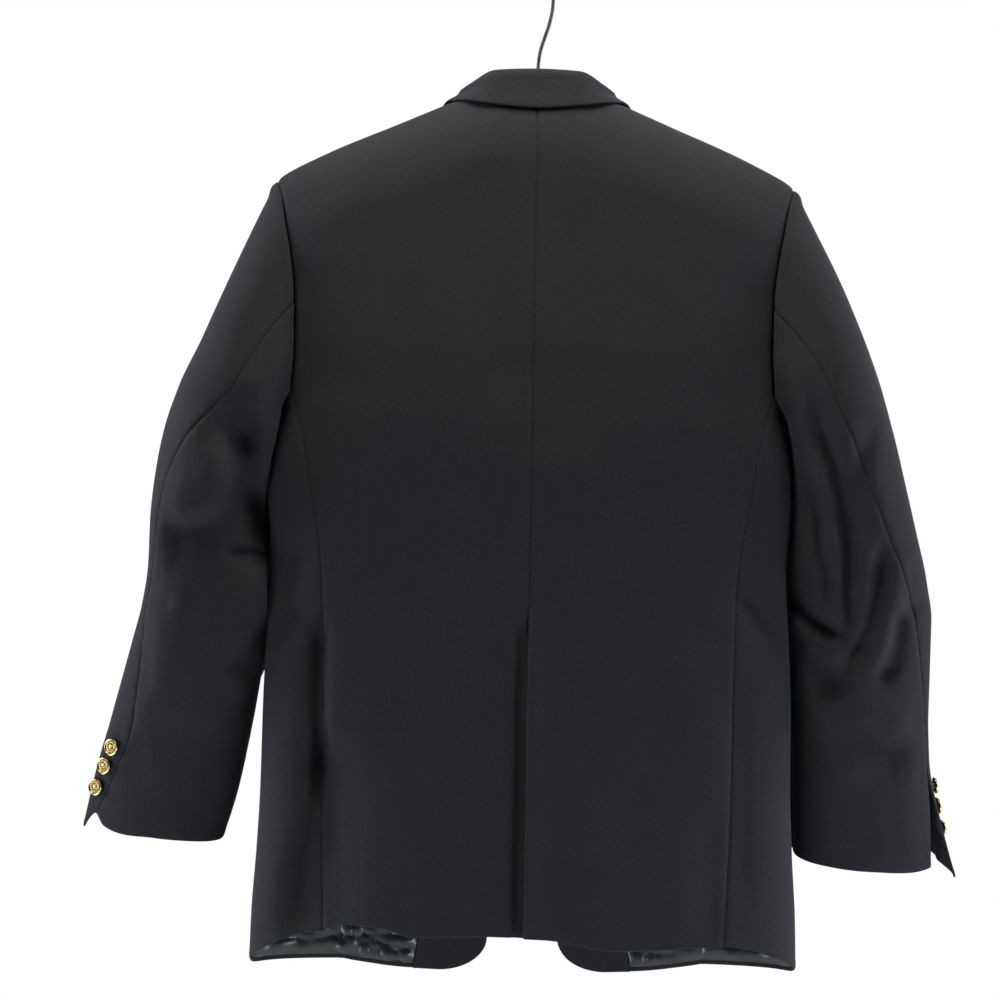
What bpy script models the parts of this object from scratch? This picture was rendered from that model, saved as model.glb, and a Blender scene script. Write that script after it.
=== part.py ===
"""A dark wool blazer on a plain wooden hanger, hanging from the hanger's steel hook.

The origin is the inner top of the hook's bowl, where a rail carries it.
+Z is up, the blazer's front faces -Y and the wearer's left is +X.
Sizes below are millimetres; meshes are written in metres.

The body is one smooth surface, read from short tables of sizes.  Each cut panel is a
stretch of that surface between its seams, and each sleeve is a loft of rings from the
armhole to the cuff.  h is a distance across from the centre line, towards the panel's
own side, and z a height.
"""
import math

import bmesh
import bpy
import numpy as np
from mathutils import Vector

# ---------------------------------------------------------------- driving sizes (mm)
MM = 0.001
CLOTH = 2.0              # wall of wool and canvas
FACING_CLOTH = 1.5
LINING_CLOTH = 1.0
SEAM_GAP = 0.3           # between two pieces at a seam
LAYER_GAP = 0.4          # between a panel and what lies on it

HANG_TILT = math.radians(1.0)     # the blazer hangs a little crooked
HANG_SHIFT = -8.3

SECTION_POWER = 3.3      # roundness of the body's sections
SHOULDER_ROLL = 75.0     # drop over which the shoulder rounds down to the full depth
SHOULDER_POINT = 237.5   # half of the shoulder width
NECK_HALF_WIDTH = 84.0
BACK_NECK_DROP = 57.0    # along the roll, from the shoulder line to the back neck seam

ARMHOLE_TOP = -191.0
ARMHOLE_BOTTOM = -402.0
BACK, FRONT = 1, -1
LEFT, RIGHT = 1, -1

VENT_TOP = -604.0
VENT_SLANT = 22.0        # height of the vent's slanted top
VENT_UNDERLAP = 40.0
UNDERLAP_STEP = 2.7      # how far an underlapping edge lies inside the edge over it
UNDERLAP_EASE = 25.0     # height over which it steps in
UNDERLAP_ABOVE = 27.0    # how far over the vent the left back starts to step in
FRONT_UNDERLAP = (40, 22, -430)   # the right front steps in from h 40 to 22, below z -430
FRONT_OVERLAP = 17.0     # of each front past the centre front
BUTTON_TOP_Z = -565.0
BUTTON_LOW_Z = -672.0
FRONT_BUTTON = 20.0      # diameters
CUFF_BUTTON = 15.5
CUFF_BUTTON_INSET = 12.0
CUFF_BUTTON_PITCH = 17.5
CUFF_BUTTON_PROUD = 0.4
CUFF_BUTTON_RING = {LEFT: 12.62, RIGHT: 12.55}    # the sleeve ring of the first button
RING_LENGTH = {LEFT: 38.0, RIGHT: 44.0}    # of sleeve between two rings near the cuff
FRONT_BUTTON_HEIGHT = 5.0
CUFF_BUTTON_HEIGHT = 4.2

WIRE = 3.4               # diameter of the hook's wire
HOOK_BOWL = 19.5         # inner radius of its bowl
HOOK_OPEN_END = 6.0      # degrees from level to the bowl's open end


class Table:
    """Rows of sizes: each named column is a smooth monotone curve over the first one."""

    def __init__(self, names, *rows):
        names = names.split()
        values = np.array(sorted(rows), float)
        self.at = values[:, 0]
        step = np.diff(self.at)
        self.curves = {}
        for number, name in enumerate(names[1:], 1):
            value = values[:, number]
            slope = np.diff(value) / step
            ends = np.concatenate([[slope[0]], slope, [slope[-1]]])
            before, after = ends[:-1], ends[1:]
            same_way = before * after > 0
            total = np.where(same_way, before + after, 1.0)
            tangent = np.where(same_way, 2 * before * after / total, 0.0)
            tangent[0], tangent[-1] = slope[0], slope[-1]
            self.curves[name] = (value, tangent)

    def __call__(self, name, x):
        value, tangent = self.curves[name]
        x = float(x)
        if x <= self.at[0]:
            return value[0] + tangent[0] * (x - self.at[0])
        if x >= self.at[-1]:
            return value[-1] + tangent[-1] * (x - self.at[-1])
        i = int(np.searchsorted(self.at, x, side="right")) - 1
        width = self.at[i + 1] - self.at[i]
        t = (x - self.at[i]) / width
        t2, t3 = t * t, t * t * t
        return ((2 * t3 - 3 * t2 + 1) * value[i] + (t3 - 2 * t2 + t) * width * tangent[i]
                + (3 * t2 - 2 * t3) * value[i + 1] + (t3 - t2) * width * tangent[i + 1])


# Half sizes of the body's sections, from the shoulders to the hem.
BODY = Table("z half_width back front",
             (-915, 251, 58, 60), (-860, 249.5, 57, 59), (-805, 246, 55, 58),
             (-750, 243.5, 53, 57), (-660, 242, 51, 56), (-600, 239, 50, 55),
             (-545, 236, 50, 56), (-484, 240, 52, 58), (-450, 238.5, 54, 60),
             (-425, 234, 55, 61), (-402, 229, 56, 62), (-350, 231, 56, 62),
             (-300, 234, 54, 60), (-250, 240, 52, 56), (-190, 248, 49, 51),
             (-120, 254, 45, 45))

# The shoulder line, from the neck to the armhole.
RIDGE = Table("h z",
              (0, -95), (30, -98), (60, -107.5), (92, -121.5), (114, -131), (135, -140),
              (158, -149.5), (180, -159), (200, -168.5), (218, -177.5), (230, -184.5),
              (SHOULDER_POINT, ARMHOLE_TOP), (246, -200))

# Where the back's and the front's outer seams run: the armhole, then the side seams.
BACK_SEAM = Table("z h",
                  (ARMHOLE_TOP, SHOULDER_POINT), (-210, 231), (-235, 226), (-262, 221), (-295, 217.5),
                  (-340, 217), (-382, 219.5), (-402, 214), (-440, 205), (-475, 199.5),
                  (-520, 191.5), (-560, 188), (-625, 186.5), (-760, 185.5), (-875, 181))
FRONT_SEAM = Table("z h",
                   (ARMHOLE_TOP, SHOULDER_POINT), (-210, 229), (-235, 218), (-262, 208), (-295, 200.5),
                   (-340, 199), (-374.7, 206), (-402, 199), (-440, 190), (-475, 184),
                   (-520, 178), (-560, 175), (-625, 173), (-760, 172), (-915, 171))

# Hem heights: of the back over h to each side (the left is +), and of the side and front.
HEM_BACK = Table("h z",
                 (-240, -879), (-185, -880), (-150, -882), (-85, -885), (-20, -876), (33, -874),
                 (100, -876), (127, -869), (161, -866), (174, -868), (185, -875),
                 (240, -879))
HEM_FRONT = Table("h z", (78, -923.5), (112, -922), (157, -916), (171, -913.5), (240, -911))
CORNER_WIDTH = 45.0      # the rounded lower corner of each front
CORNER_HEIGHT = 31.0

# The edge of each front, by the distance w down from the shoulder line: the roll line to
# the top button, then the straight edge and the cutaway.
FRONT_EDGE = Table("w h",
                   (0, 84), (22, 77.5), (57, 69), (94, 61.5), (164, 49), (346, 17.5),
                   (512, -12), (556, -FRONT_OVERLAP), (618, -FRONT_OVERLAP), (666, -12), (727, 0), (786, 16),
                   (825, 29), (837, 33))

# Creases pressed into the cloth: width, depth, then the points of the line as h and z.
BACK_CREASES = {
    LEFT: ((26, 6.0, ((187, -640), (186, -745), (200, -865))),
           (34, 3.5, ((52, -192), (46, -264), (33, -327), (18, -390)))),
    RIGHT: ((24, 4.0, ((180, -690), (172, -800), (166, -870))),
            (34, 3.5, ((40, -225), (47, -284), (42, -356), (28, -427)))),
}

# Each sleeve's rings: the outer and inner ends of the ring, its half depth, the y of its
# middle, how far the back of the ring lies below its front, and the angles of its seams.
SLEEVE = {
    LEFT: Table("ring outer_x outer_z inner_x inner_z depth y drop back_seam front_seam",
                (0, 237.9, -190.6, 229.4, -402.4, 40, -3, 0, 93, 235),
                (1, 256, -228, 231.5, -404.2, 50, -3, 0, 93, 233),
                (2, 281, -283, 234, -408.5, 58, -3, 0, 93, 230),
                (3, 305, -338, 236, -416, 62, -3, 0, 92, 227),
                (4, 324, -379, 238.5, -430, 63, -3, 0, 84, 224),
                (5, 337, -418, 241, -452, 62, -3, 0, 66, 221),
                (6, 345, -460, 242.2, -482, 60, -4, 0, 48, 218),
                (7, 349.5, -503, 240.5, -517, 57, -6, 0, 38, 215),
                (8, 351, -545, 239, -553, 53, -8, 0, 32, 212),
                (9, 356, -580, 241, -590, 50, -10, 1, 30, 209),
                (10, 365, -615, 244, -630, 46, -13, 2, 40, 206),
                (11, 375, -652, 250, -672, 40, -16, 3, 48, 203),
                (12, 385, -689, 257.5, -712, 33, -19, 4, 52, 200),
                (13, 395, -727, 266.5, -752, 27, -22, 5, 46, 197),
                (14, 402, -771, 279.5, -794, 22, -24, 7, 36, 194)),
    RIGHT: Table("ring outer_x outer_z inner_x inner_z depth y drop back_seam front_seam",
                 (0, 237.9, -190.6, 229.4, -402.4, 40, -3, 0, 93, 235),
                 (1, 257, -227, 231.5, -404.2, 50, -3, 0, 93, 233),
                 (2, 281, -274, 234, -408.5, 58, -3, 0, 93, 230),
                 (3, 303, -325, 236, -416, 62, -3, 0, 92, 227),
                 (4, 320, -370, 238.5, -430, 63, -3, 0, 90, 224),
                 (5, 333, -415, 241, -452, 62, -3, 0, 84, 221),
                 (6, 345, -462, 242.4, -484, 60, -4, 0, 76, 218),
                 (7, 356, -505, 241, -518, 57, -6, 0, 66, 215),
                 (8, 366, -545, 239.6, -555, 53, -8, 0, 56, 212),
                 (9, 372, -585, 241.4, -592, 50, -10, 1, 48, 209),
                 (10, 372, -628, 243.5, -630, 46, -13, 2, 38, 206),
                 (11, 372, -670, 245, -670, 40, -16, 3, 26, 203),
                 (12, 374, -712, 247, -712, 33, -19, 4, 20, 200),
                 (13, 380, -755, 249, -756, 27, -22, 5, 24, 197),
                 (14, 385, -800, 250.5, -801, 23, -24, 8, 30, 194)),
}
SLEEVE_POWER = 2.3
CUFF_RING = 14
HEAD_RINGS = 3.0         # rings over which the sleeve leaves the armhole's outline

# Creases of the sleeves, on their back: width, depth, then x and z along the line.
SLEEVE_CREASES = {
    LEFT: ((15, 7.0, ((258, -440), (248, -475), (246, -520))),
           (17, 4.0, ((330, -500), (300, -498), (270, -480)))),
    RIGHT: ((15, 5.0, ((252, -420), (268, -475), (276, -540))),
            (17, 6.0, ((250, -585), (278, -625), (300, -655)))),
}

# Half of the collar, from the centre back (place 0) round to its front end at the gorge:
# its seam on the neck, its fold, the middle and the edge of its fall, and the fold's size.
COLLAR_COLUMNS = ("place seam_h seam_y seam_z fold_h fold_y fold_z"
                  " middle_h middle_y middle_z edge_h edge_y edge_z roll")
COLLAR_ROWS = (
    (0, 0, 26.8, -116.2, 0, 29, -87.5, 0, 39, -108, 0, 43, -128, 5),
    (1, 40, 22.6, -116, 38, 23.5, -88.5, 43, 34, -107, 45, 38.5, -124, 5),
    (2, 62, 12.4, -116.5, 56, 12, -98, 66, 21, -109, 72, 26, -119.5, 5),
    (3, 77, -1, -116.4, 67, -5, -107.8, 81, -2, -112.0, 90, 2.5, -117.2, 4.5),
    (4, 73, -14, -119, 68, -20, -117, 90, -26, -126.5, 103, -24, -130, 4),
    (5, 63, -27.5, -131, 61.5, -39, -135, 92, -44.5, -149, 119, -41.5, -158, 3.6),
    (6, 62, -38, -160, 56.5, -47, -160, 97, -52.5, -172, 127.5, -45.5, -168, 3.3),
    (7, 58.5, -41.5, -178, 53, -49.5, -178, 104, -54.3, -196.6, 132, -46.5, -178, 3.0),
)
COLLAR_PLACES = (0, 0.6, 1.2, 1.8, 2.3, 2.8, 3.3, 3.9, 4.5, 5.1, 5.7, 6.3, 7)

# Each lapel from the gorge down its roll line: w on that line, and the lapel's outer edge.
LAPEL = Table("row roll_w edge_h edge_z",
              (0, 117.5, 144, -214.5), (1, 154, 143.5, -243), (2, 207, 135, -292),
              (3, 270, 118, -350), (4, 336, 94, -412), (5, 402, 64, -470),
              (6, 452, 34, -515), (7, 489, 6, -548))
LAPEL_LIFT = 3.0         # of its face off the front
LAPEL_SWELL = 1.8        # more in its middle, where it rolls
LAPEL_LEAST = 4.0        # its width where it runs out at the top button
LAPEL_COLUMNS = 4
RIGHT_LAPEL_PRESS = 0.6  # share of the underlap's step that the right lapel follows
RIGHT_LAPEL_CLEAR = 2.5  # between the right lapel and the left front's edge over it

# The hanger's arms: half depth, half height, and how far the top lies under the ridge.
HANGER = Table("h depth height below",
               (0, 7, 14, 5), (40, 7.5, 13, 4.6), (84, 9, 13, 3.6), (110, 10.5, 13, 3.1),
               (150, 12, 13, 3.1), (190, 10, 12, 3.8), (212, 7.5, 9, 4.4),
               (219, 7, 6.5, 5), (222, 4, 3, 8))
HANGER_STEPS = (0, 25, 50, 75, 100, 125, 150, 175, 198, 212, 219, 222)
HANGER_SIDES = 14

# The hook's wire from its bowl back to the hanger, as x and z.
HOOK_NECK = ((-20.3, -30), (-17.6, -42), (-13.2, -55), (-9.4, -67), (-7.4, -80))

# Columns of the sleeve at the armhole, in degrees from its top; the panels share them.
TOP_SLEEVE_COLUMNS = (235, 256, 278, 300, 320, 338, 350, 360, 370, 382, 398, 415, 434, 453)
UNDER_SLEEVE_COLUMNS = (93, 107, 120, 132, 144.4, 155, 167.5, 180, 194, 208, 221.6, 235)
BACK_ARMHOLE = (0, 10, 22, 38, 55, 74, 93, 107, 120, 132, 144.4)
SIDE_ARMHOLE = (144.4, 155, 167.5, 180, 194, 208, 221.6)
FRONT_ARMHOLE = (360, 350, 338, 320, 300, 278, 256, 235, 221.6)
# Rows below the armhole, as a share of the way to the hem; the vent starts at one.
LOWER_ROWS = (0, 0.08, 0.16, 0.25, 0.35, 0.45, 0.5, 0.58, 0.66, 0.74, 0.81, 0.87, 0.94, 1)
RIGHT_BACK_COLUMNS = (0, 0.125, 0.25, 0.375, 0.5, 0.625, 0.75, 0.875, 1)
# The left back's first columns follow its underlap: its edge, and lines beside the centre.
LEFT_BACK_COLUMNS = (0, 0.17, 0.20, 0.30, 0.40, 0.54, 0.68, 0.84, 1)
UNDERLAP_LINES = (8.0, 14.0)
FRONT_COLUMNS = 10
FACING_COLUMNS = 5       # the facing's share of the front's columns
INSIDE_ROWS = 4          # the rows over which the facing shows, from the hem up
LINING_SIDE_COLUMNS = 3
BUTTON_STEPS = 16


# ---------------------------------------------------------------- small helpers
def smooth_step(t):
    t = min(max(t, 0.0), 1.0)
    return t * t * (3 - 2 * t)


def mix(a, b, t):
    return np.asarray(a, float) * (1 - t) + np.asarray(b, float) * t


def hang(point):
    """A point of the straight garment, turned and shifted to how it hangs on its hook."""
    x, y, z = point
    c, s = math.cos(HANG_TILT), math.sin(HANG_TILT)
    return np.array([x * c - z * s + HANG_SHIFT, y, z * c + x * s])


def crease_depth(creases, x, z):
    """How far the creases press the cloth in at a place on a panel."""
    depth = 0.0
    for width, deep, line in creases:
        line = np.array(line, float)
        runs = np.linalg.norm(np.diff(line, axis=0), axis=1)
        total, done, nearest, share = runs.sum(), 0.0, 1e9, 0.0
        for start, end, run in zip(line[:-1], line[1:], runs):
            along = np.clip(np.dot((x, z) - start, end - start) / run ** 2, -0.2, 1.2)
            away = math.dist((x, z), start + along * (end - start))
            if away < nearest:
                nearest, share = away, (done + along * run) / total
            done += run
        ends = smooth_step(share / 0.3 + 0.4) * smooth_step((1 - share) / 0.3 + 0.4)
        depth += deep * ends * math.exp(-(nearest / width) ** 2)
    return depth


# ---------------------------------------------------------------- the body's surface
def body_from_roll(h, w, side):
    """The point h across and w down from the shoulder line, over its roll."""
    quarter = SHOULDER_ROLL * math.pi / 2
    if w < quarter:
        angle = w / SHOULDER_ROLL
        drop, turn = SHOULDER_ROLL * (1 - math.cos(angle)), math.sin(angle)
    else:
        drop, turn = SHOULDER_ROLL + w - quarter, 1.0
    z = RIDGE("z", abs(h)) - drop
    half_width = BODY("half_width", z)
    depth = BODY("back" if side == BACK else "front", z)
    across = min(abs(h) / half_width, 1.0)
    return np.array([h, side * turn * depth * (1 - across ** SECTION_POWER)
                     ** (1 / SECTION_POWER), z])


def roll_length(h, z):
    """The distance w down from the shoulder line at which height z is reached."""
    drop = max(RIDGE("z", abs(h)) - z, 0.0)
    if drop < SHOULDER_ROLL:
        return SHOULDER_ROLL * math.acos(1 - drop / SHOULDER_ROLL)
    return drop - SHOULDER_ROLL + SHOULDER_ROLL * math.pi / 2


def body_at(h, z, side):
    return body_from_roll(h, roll_length(h, z), side)


def body_around(z, u):
    """The point a share u of the way round the side, from the back seam to the front seam."""
    half_width = BODY("half_width", z)
    angle = np.linspace(math.pi / 2, -math.pi / 2, 361)
    depth = np.where(angle > 0, BODY("back", z), BODY("front", z))
    across = half_width * np.abs(np.cos(angle)) ** (2 / SECTION_POWER)
    y = depth * np.sign(np.sin(angle)) * np.abs(np.sin(angle)) ** (2 / SECTION_POWER)
    length = np.concatenate([[0], np.cumsum(np.hypot(np.diff(across), np.diff(y)))])
    middle = len(angle) // 2
    start = np.interp(BACK_SEAM("h", z), across[:middle + 1], length[:middle + 1])
    end = np.interp(-FRONT_SEAM("h", z), -across[middle:], length[middle:])
    place = start + (end - start) * u
    return np.array([np.interp(place, length, across), np.interp(place, length, y), z])


def armhole_height(theta):
    middle = (ARMHOLE_TOP + ARMHOLE_BOTTOM) / 2
    return middle + (ARMHOLE_TOP - middle) * math.cos(math.radians(theta))


def armhole(theta):
    """The armhole's seam, by the angle from its top: down the back and up the front."""
    theta = theta % 360
    z = armhole_height(theta)
    if theta <= SIDE_ARMHOLE[0]:
        return body_at(BACK_SEAM("h", z), z, BACK)
    if theta >= SIDE_ARMHOLE[-1]:
        return body_at(FRONT_SEAM("h", z), z, FRONT)
    return body_around(z, (theta - SIDE_ARMHOLE[0]) / (SIDE_ARMHOLE[-1] - SIDE_ARMHOLE[0]))


# ---------------------------------------------------------------- panels as surfaces
def seam_rows(armhole_columns, corner_z, hem_z):
    """Heights of a panel's rows at its outer seam: by the armhole, then down to the hem."""
    upper = [armhole_height(theta) for theta in armhole_columns[:-1]]
    return upper + [corner_z + (hem_z - corner_z) * share for share in LOWER_ROWS]


BACK_CORNER_Z = armhole_height(BACK_ARMHOLE[-1])
FRONT_CORNER_Z = armhole_height(FRONT_ARMHOLE[-1])


def vent_share(z):
    """0 above the vent and 1 in it, over a slanted top."""
    return smooth_step((VENT_TOP - z) / VENT_SLANT)


def underlap_step(h, z, flat, full, top):
    """How far an underlapping panel lies inside: from h = flat to full, and below a height."""
    across = smooth_step((flat - h) / (flat - full))
    return UNDERLAP_STEP * across * smooth_step((top - z) / UNDERLAP_EASE)


def back_surface(side):
    """A back panel from the centre back (u = 0) to its outer seam, and down (row)."""
    hem_z = HEM_BACK("z", side * BACK_SEAM("h", -875))
    rows = seam_rows(BACK_ARMHOLE, BACK_CORNER_Z, hem_z)
    row_z = Table("row z", *enumerate(rows))

    def surface(u, row):
        z = row_z("z", row)
        seam = BACK_SEAM("h", z)
        share = roll_length(seam, z) / roll_length(seam, HEM_BACK("z", side * seam))
        inner = -VENT_UNDERLAP * vent_share(z) if side == LEFT else 0.0
        h = seam * u
        if side == LEFT:
            h = np.interp(u, (*LEFT_BACK_COLUMNS[:3], 1), (inner, *UNDERLAP_LINES, seam))
        neck = max(1 - (h / NECK_HALF_WIDTH) ** 2, 0.0)
        top = BACK_NECK_DROP * neck ** 0.6
        hem = roll_length(h, HEM_BACK("z", side * h))
        point = body_from_roll(h, top + (hem - top) * share, BACK)
        press = crease_depth(BACK_CREASES[side], point[0], point[2])
        if side == LEFT:
            press += underlap_step(h, point[2], *UNDERLAP_LINES[::-1],
                                   VENT_TOP + UNDERLAP_ABOVE)
        point[1] -= press
        return point

    return surface, len(rows)


def side_surface(side):
    """The side panel from the back seam (u = 0) round to the front seam (u = 1)."""
    back_hem = HEM_BACK("z", side * BACK_SEAM("h", -875))
    front_hem = HEM_FRONT("z", FRONT_SEAM("h", -915))

    row_share = Table("row share", *enumerate(LOWER_ROWS))

    def surface(u, row):
        share = row_share("share", row)
        theta = SIDE_ARMHOLE[0] + (SIDE_ARMHOLE[-1] - SIDE_ARMHOLE[0]) * u
        top = armhole_height(theta)
        straight = BACK_CORNER_Z + (FRONT_CORNER_Z - BACK_CORNER_Z) * u
        hem = back_hem + (front_hem - back_hem) * smooth_step(min(u * 1.6, 1.0))
        lift = (top - straight) * (1 - share) ** 3
        z = straight + (hem - straight) * share + lift
        point = body_around(z, u)
        on_back = smooth_step(point[1] / (0.75 * BODY("back", z)))
        point[1] -= on_back * crease_depth(BACK_CREASES[side], point[0], z)
        return point

    return surface, len(LOWER_ROWS)


def front_hem(h):
    corner = min(max((78 - h) / CORNER_WIDTH, 0.0), 1.0)
    return HEM_FRONT("z", max(h, 78)) + CORNER_HEIGHT * (1 - math.sqrt(1 - corner ** 2))


def front_surface(side):
    """A front from its edge (u = 0) to its outer seam (u = 1), and down (row)."""
    hem_z = HEM_FRONT("z", FRONT_SEAM("h", -915))
    rows = seam_rows(FRONT_ARMHOLE, FRONT_CORNER_Z, hem_z)
    row_z = Table("row z", *enumerate(rows))

    def surface(u, row):
        z = row_z("z", row)
        seam = FRONT_SEAM("h", z)
        share = roll_length(seam, z) / roll_length(seam, front_hem(seam))
        edge = FRONT_EDGE("h", share * FRONT_EDGE.at[-1])
        h = edge + (seam - edge) * u
        hem = roll_length(h, front_hem(h))
        point = body_from_roll(h, hem * share, FRONT)
        if side == RIGHT:
            point[1] += underlap_step(h, point[2], *FRONT_UNDERLAP)
        return point

    return surface, len(rows)


def lapel_surface(side):
    """A lapel from its roll line (u = 0) to its outer edge (u = 1), lying on its front."""
    def surface(u, row):
        roll_w = LAPEL("roll_w", row)
        roll_h = FRONT_EDGE("h", roll_w)
        roll_z = body_from_roll(roll_h, roll_w, FRONT)[2]
        if side == RIGHT:                       # the left front covers what lies past this
            roll_h = max(roll_h, RIGHT_LAPEL_CLEAR - roll_h)
        edge_h = max(LAPEL("edge_h", row), roll_h + LAPEL_LEAST)
        h = roll_h + (edge_h - roll_h) * u
        z = roll_z + (LAPEL("edge_z", row) - roll_z) * u
        point = body_at(h, z, FRONT)
        if side == RIGHT:
            point[1] += RIGHT_LAPEL_PRESS * underlap_step(h, z, *FRONT_UNDERLAP)
        return point

    return surface, len(LAPEL.at)


def collar_table():
    """The collar's sections from its right front end round to its left one."""
    mirrored = []
    for place, *sizes in COLLAR_ROWS[1:]:
        sizes[0:12:3] = [-h for h in sizes[0:12:3]]
        mirrored.append((-place, *sizes))
    return Table(COLLAR_COLUMNS, *mirrored, *COLLAR_ROWS)


def collar_surface():
    """The collar across it (u: seam, fold, edge) and round the neck (row)."""
    table = collar_table()

    def corner(name, place):
        return np.array([table(f"{name}_{axis}", place) for axis in "hyz"])

    def surface(u, place):
        seam, fold, middle, edge = (corner(n, place) for n in ("seam", "fold", "middle", "edge"))
        roll = table("roll", place)
        up_stand, down_fall = seam - fold, middle - fold
        up_stand /= np.linalg.norm(up_stand)
        down_fall /= np.linalg.norm(down_fall)
        along = up_stand + down_fall
        along /= np.linalg.norm(along)
        apart = (middle - seam) - np.dot(middle - seam, along) * along
        apart *= 0.7 * roll / np.linalg.norm(apart)
        stations = (seam, fold + up_stand * roll - apart, fold,
                    fold + down_fall * roll + apart, middle, edge)
        place_u = u * (len(stations) - 1)
        i = min(int(place_u), len(stations) - 2)
        return mix(stations[i], stations[i + 1], place_u - i)

    return surface


# ---------------------------------------------------------------- sleeves
def sleeve_ring(side, theta, ring):
    table = SLEEVE[side]
    outer = np.array([table("outer_x", ring), 0, table("outer_z", ring)])
    inner = np.array([table("inner_x", ring), 0, table("inner_z", ring)])
    angle = math.radians(theta)
    c = math.copysign(abs(math.cos(angle)) ** (2 / SLEEVE_POWER), math.cos(angle))
    s = math.copysign(abs(math.sin(angle)) ** (2 / SLEEVE_POWER), math.sin(angle))
    across = np.array([0, table("depth", ring), -table("drop", ring)])
    middle = (outer + inner) / 2 + np.array([0, table("y", ring), 0])
    return middle + (outer - inner) / 2 * c + across * s


def sleeve_angle(side, column_share, ring, columns, top_piece):
    """The ring's angle at a share of the way across the top or the under sleeve."""
    at_head = np.interp(column_share * (len(columns) - 1), range(len(columns)), columns)
    table = SLEEVE[side]
    back, front = table("back_seam", ring), table("front_seam", ring)
    start, end = (front, back + 360) if top_piece else (back, front)
    evenly = start + (end - start) * column_share
    return at_head + (evenly - at_head) * smooth_step(ring / 4)


def sleeve_surface(side, columns, top_piece):
    """A sleeve piece: across it (u) and down its rings (row)."""
    def surface(u, row):
        theta = sleeve_angle(side, u, row, columns, top_piece)
        point = sleeve_ring(side, theta, row)
        head = 1 - smooth_step(row / HEAD_RINGS)
        if head > 0:
            seam = armhole(theta)
            seam[0] += 0.4 + 0.5 * max(math.cos(math.radians(theta)), 0) ** 4
            point = point + head * (seam - sleeve_ring(side, theta, 0))
        if math.sin(math.radians(theta)) > 0:
            facing = math.sin(math.radians(theta)) ** 0.5
            point[1] -= facing * crease_depth(SLEEVE_CREASES[side], point[0], point[2])
        return point

    return surface, CUFF_RING + 1


# ---------------------------------------------------------------- solids
def make_object(name, verts, faces, material, collection):
    mesh = bpy.data.meshes.new(name)
    mesh.from_pydata([tuple(v) for v in verts], [], faces)
    body = bmesh.new()
    body.from_mesh(mesh)
    bmesh.ops.recalc_face_normals(body, faces=body.faces)
    bmesh.ops.triangulate(body, faces=body.faces)
    body.to_mesh(mesh)
    body.free()
    mesh.materials.append(material)
    mesh.shade_smooth()
    mesh.set_sharp_from_angle(angle=math.radians(40))
    thing = bpy.data.objects.new(name, mesh)
    collection.objects.link(thing)
    return thing


def sample(surface, columns, rows, centre):
    """Points of a surface on a grid, and its normals, which point away from a centre."""
    step_u, step_row = 0.01, 0.04
    points = np.zeros((len(rows), len(columns), 3))
    normals = np.zeros_like(points)
    for i, row in enumerate(rows):
        for j, u in enumerate(columns):
            points[i, j] = surface(u, row)
            lo_row, hi_row = max(row - step_row, rows[0]), min(row + step_row, rows[-1])
            lo_u, hi_u = max(u - step_u, 0), min(u + step_u, 1)
            along_u = surface(hi_u, row) - surface(lo_u, row)
            down = surface(u, hi_row) - surface(u, lo_row)
            normal = np.cross(along_u, down)
            normals[i, j] = normal / np.linalg.norm(normal)
    i, j = len(rows) // 2, len(columns) // 2
    if np.dot(normals[i, j], points[i, j] - centre) < 0:
        normals = -normals
    return points, normals


def faceted(surface, columns, rows):
    """The surface as a solid's facets give it: straight between its columns and rows."""
    def flat(u, row):
        i = min(int(row), rows - 2)
        j = min(int(u * (columns - 1)), columns - 2)
        along, down = u * (columns - 1) - j, row - i
        left, right = j / (columns - 1), (j + 1) / (columns - 1)
        return mix(mix(surface(left, i), surface(right, i), along),
                   mix(surface(left, i + 1), surface(right, i + 1), along), down)

    return flat


def open_seams(points, top=False):
    """Draws a panel's side edges in by half a seam gap, and its top edge too if asked."""
    gap = SEAM_GAP / 2
    top_gap = gap + 0.08     # the walls of the back and the front lean together there
    moved = points.copy()
    for edge, inside in ((0, 1), (-1, -2)):
        step = points[:, inside] - points[:, edge]
        moved[:, edge] += step * (gap / np.linalg.norm(step, axis=1))[:, None]
    if top:
        step = moved[1] - moved[0]
        moved[0] += step * (top_gap / np.linalg.norm(step, axis=1))[:, None]
    return moved


def shell(name, points, normals, material, collection, side=LEFT, wall=CLOTH, lift=0.0):
    """A wall of cloth: the grid of points, and the same grid moved in by the wall."""
    rows, columns = points.shape[:2]
    outer = points + normals * lift
    inner = outer - normals * wall
    mirror = np.array([side, 1, 1])
    verts = [hang(p * mirror) * MM for layer in (outer, inner) for p in layer.reshape(-1, 3)]
    inner_start = rows * columns

    def at(i, j, layer):
        return layer * inner_start + i * columns + j

    faces = []
    for i in range(rows - 1):
        for j in range(columns - 1):
            for layer in (0, 1):
                faces.append((at(i, j, layer), at(i, j + 1, layer),
                              at(i + 1, j + 1, layer), at(i + 1, j, layer)))
    border = [(0, j) for j in range(columns)] + [(i, columns - 1) for i in range(1, rows)]
    border += [(rows - 1, j) for j in range(columns - 2, -1, -1)]
    border += [(i, 0) for i in range(rows - 2, 0, -1)]
    for a, b in zip(border, border[1:] + border[:1]):
        faces.append((at(*a, 0), at(*b, 0), at(*b, 1), at(*a, 1)))
    return make_object(name, verts, faces, material, collection)


# ---------------------------------------------------------------- materials
def finish(name, colour, roughness, metallic=0.0):
    material = bpy.data.materials.new(name)
    material.use_nodes = True
    shader = material.node_tree.nodes["Principled BSDF"]
    shader.inputs["Base Color"].default_value = (*colour, 1.0)
    shader.inputs["Roughness"].default_value = roughness
    shader.inputs["Metallic"].default_value = metallic
    return material


# ---------------------------------------------------------------- the pieces
def side_words():
    return ((LEFT, "left"), (RIGHT, "right"))


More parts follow.
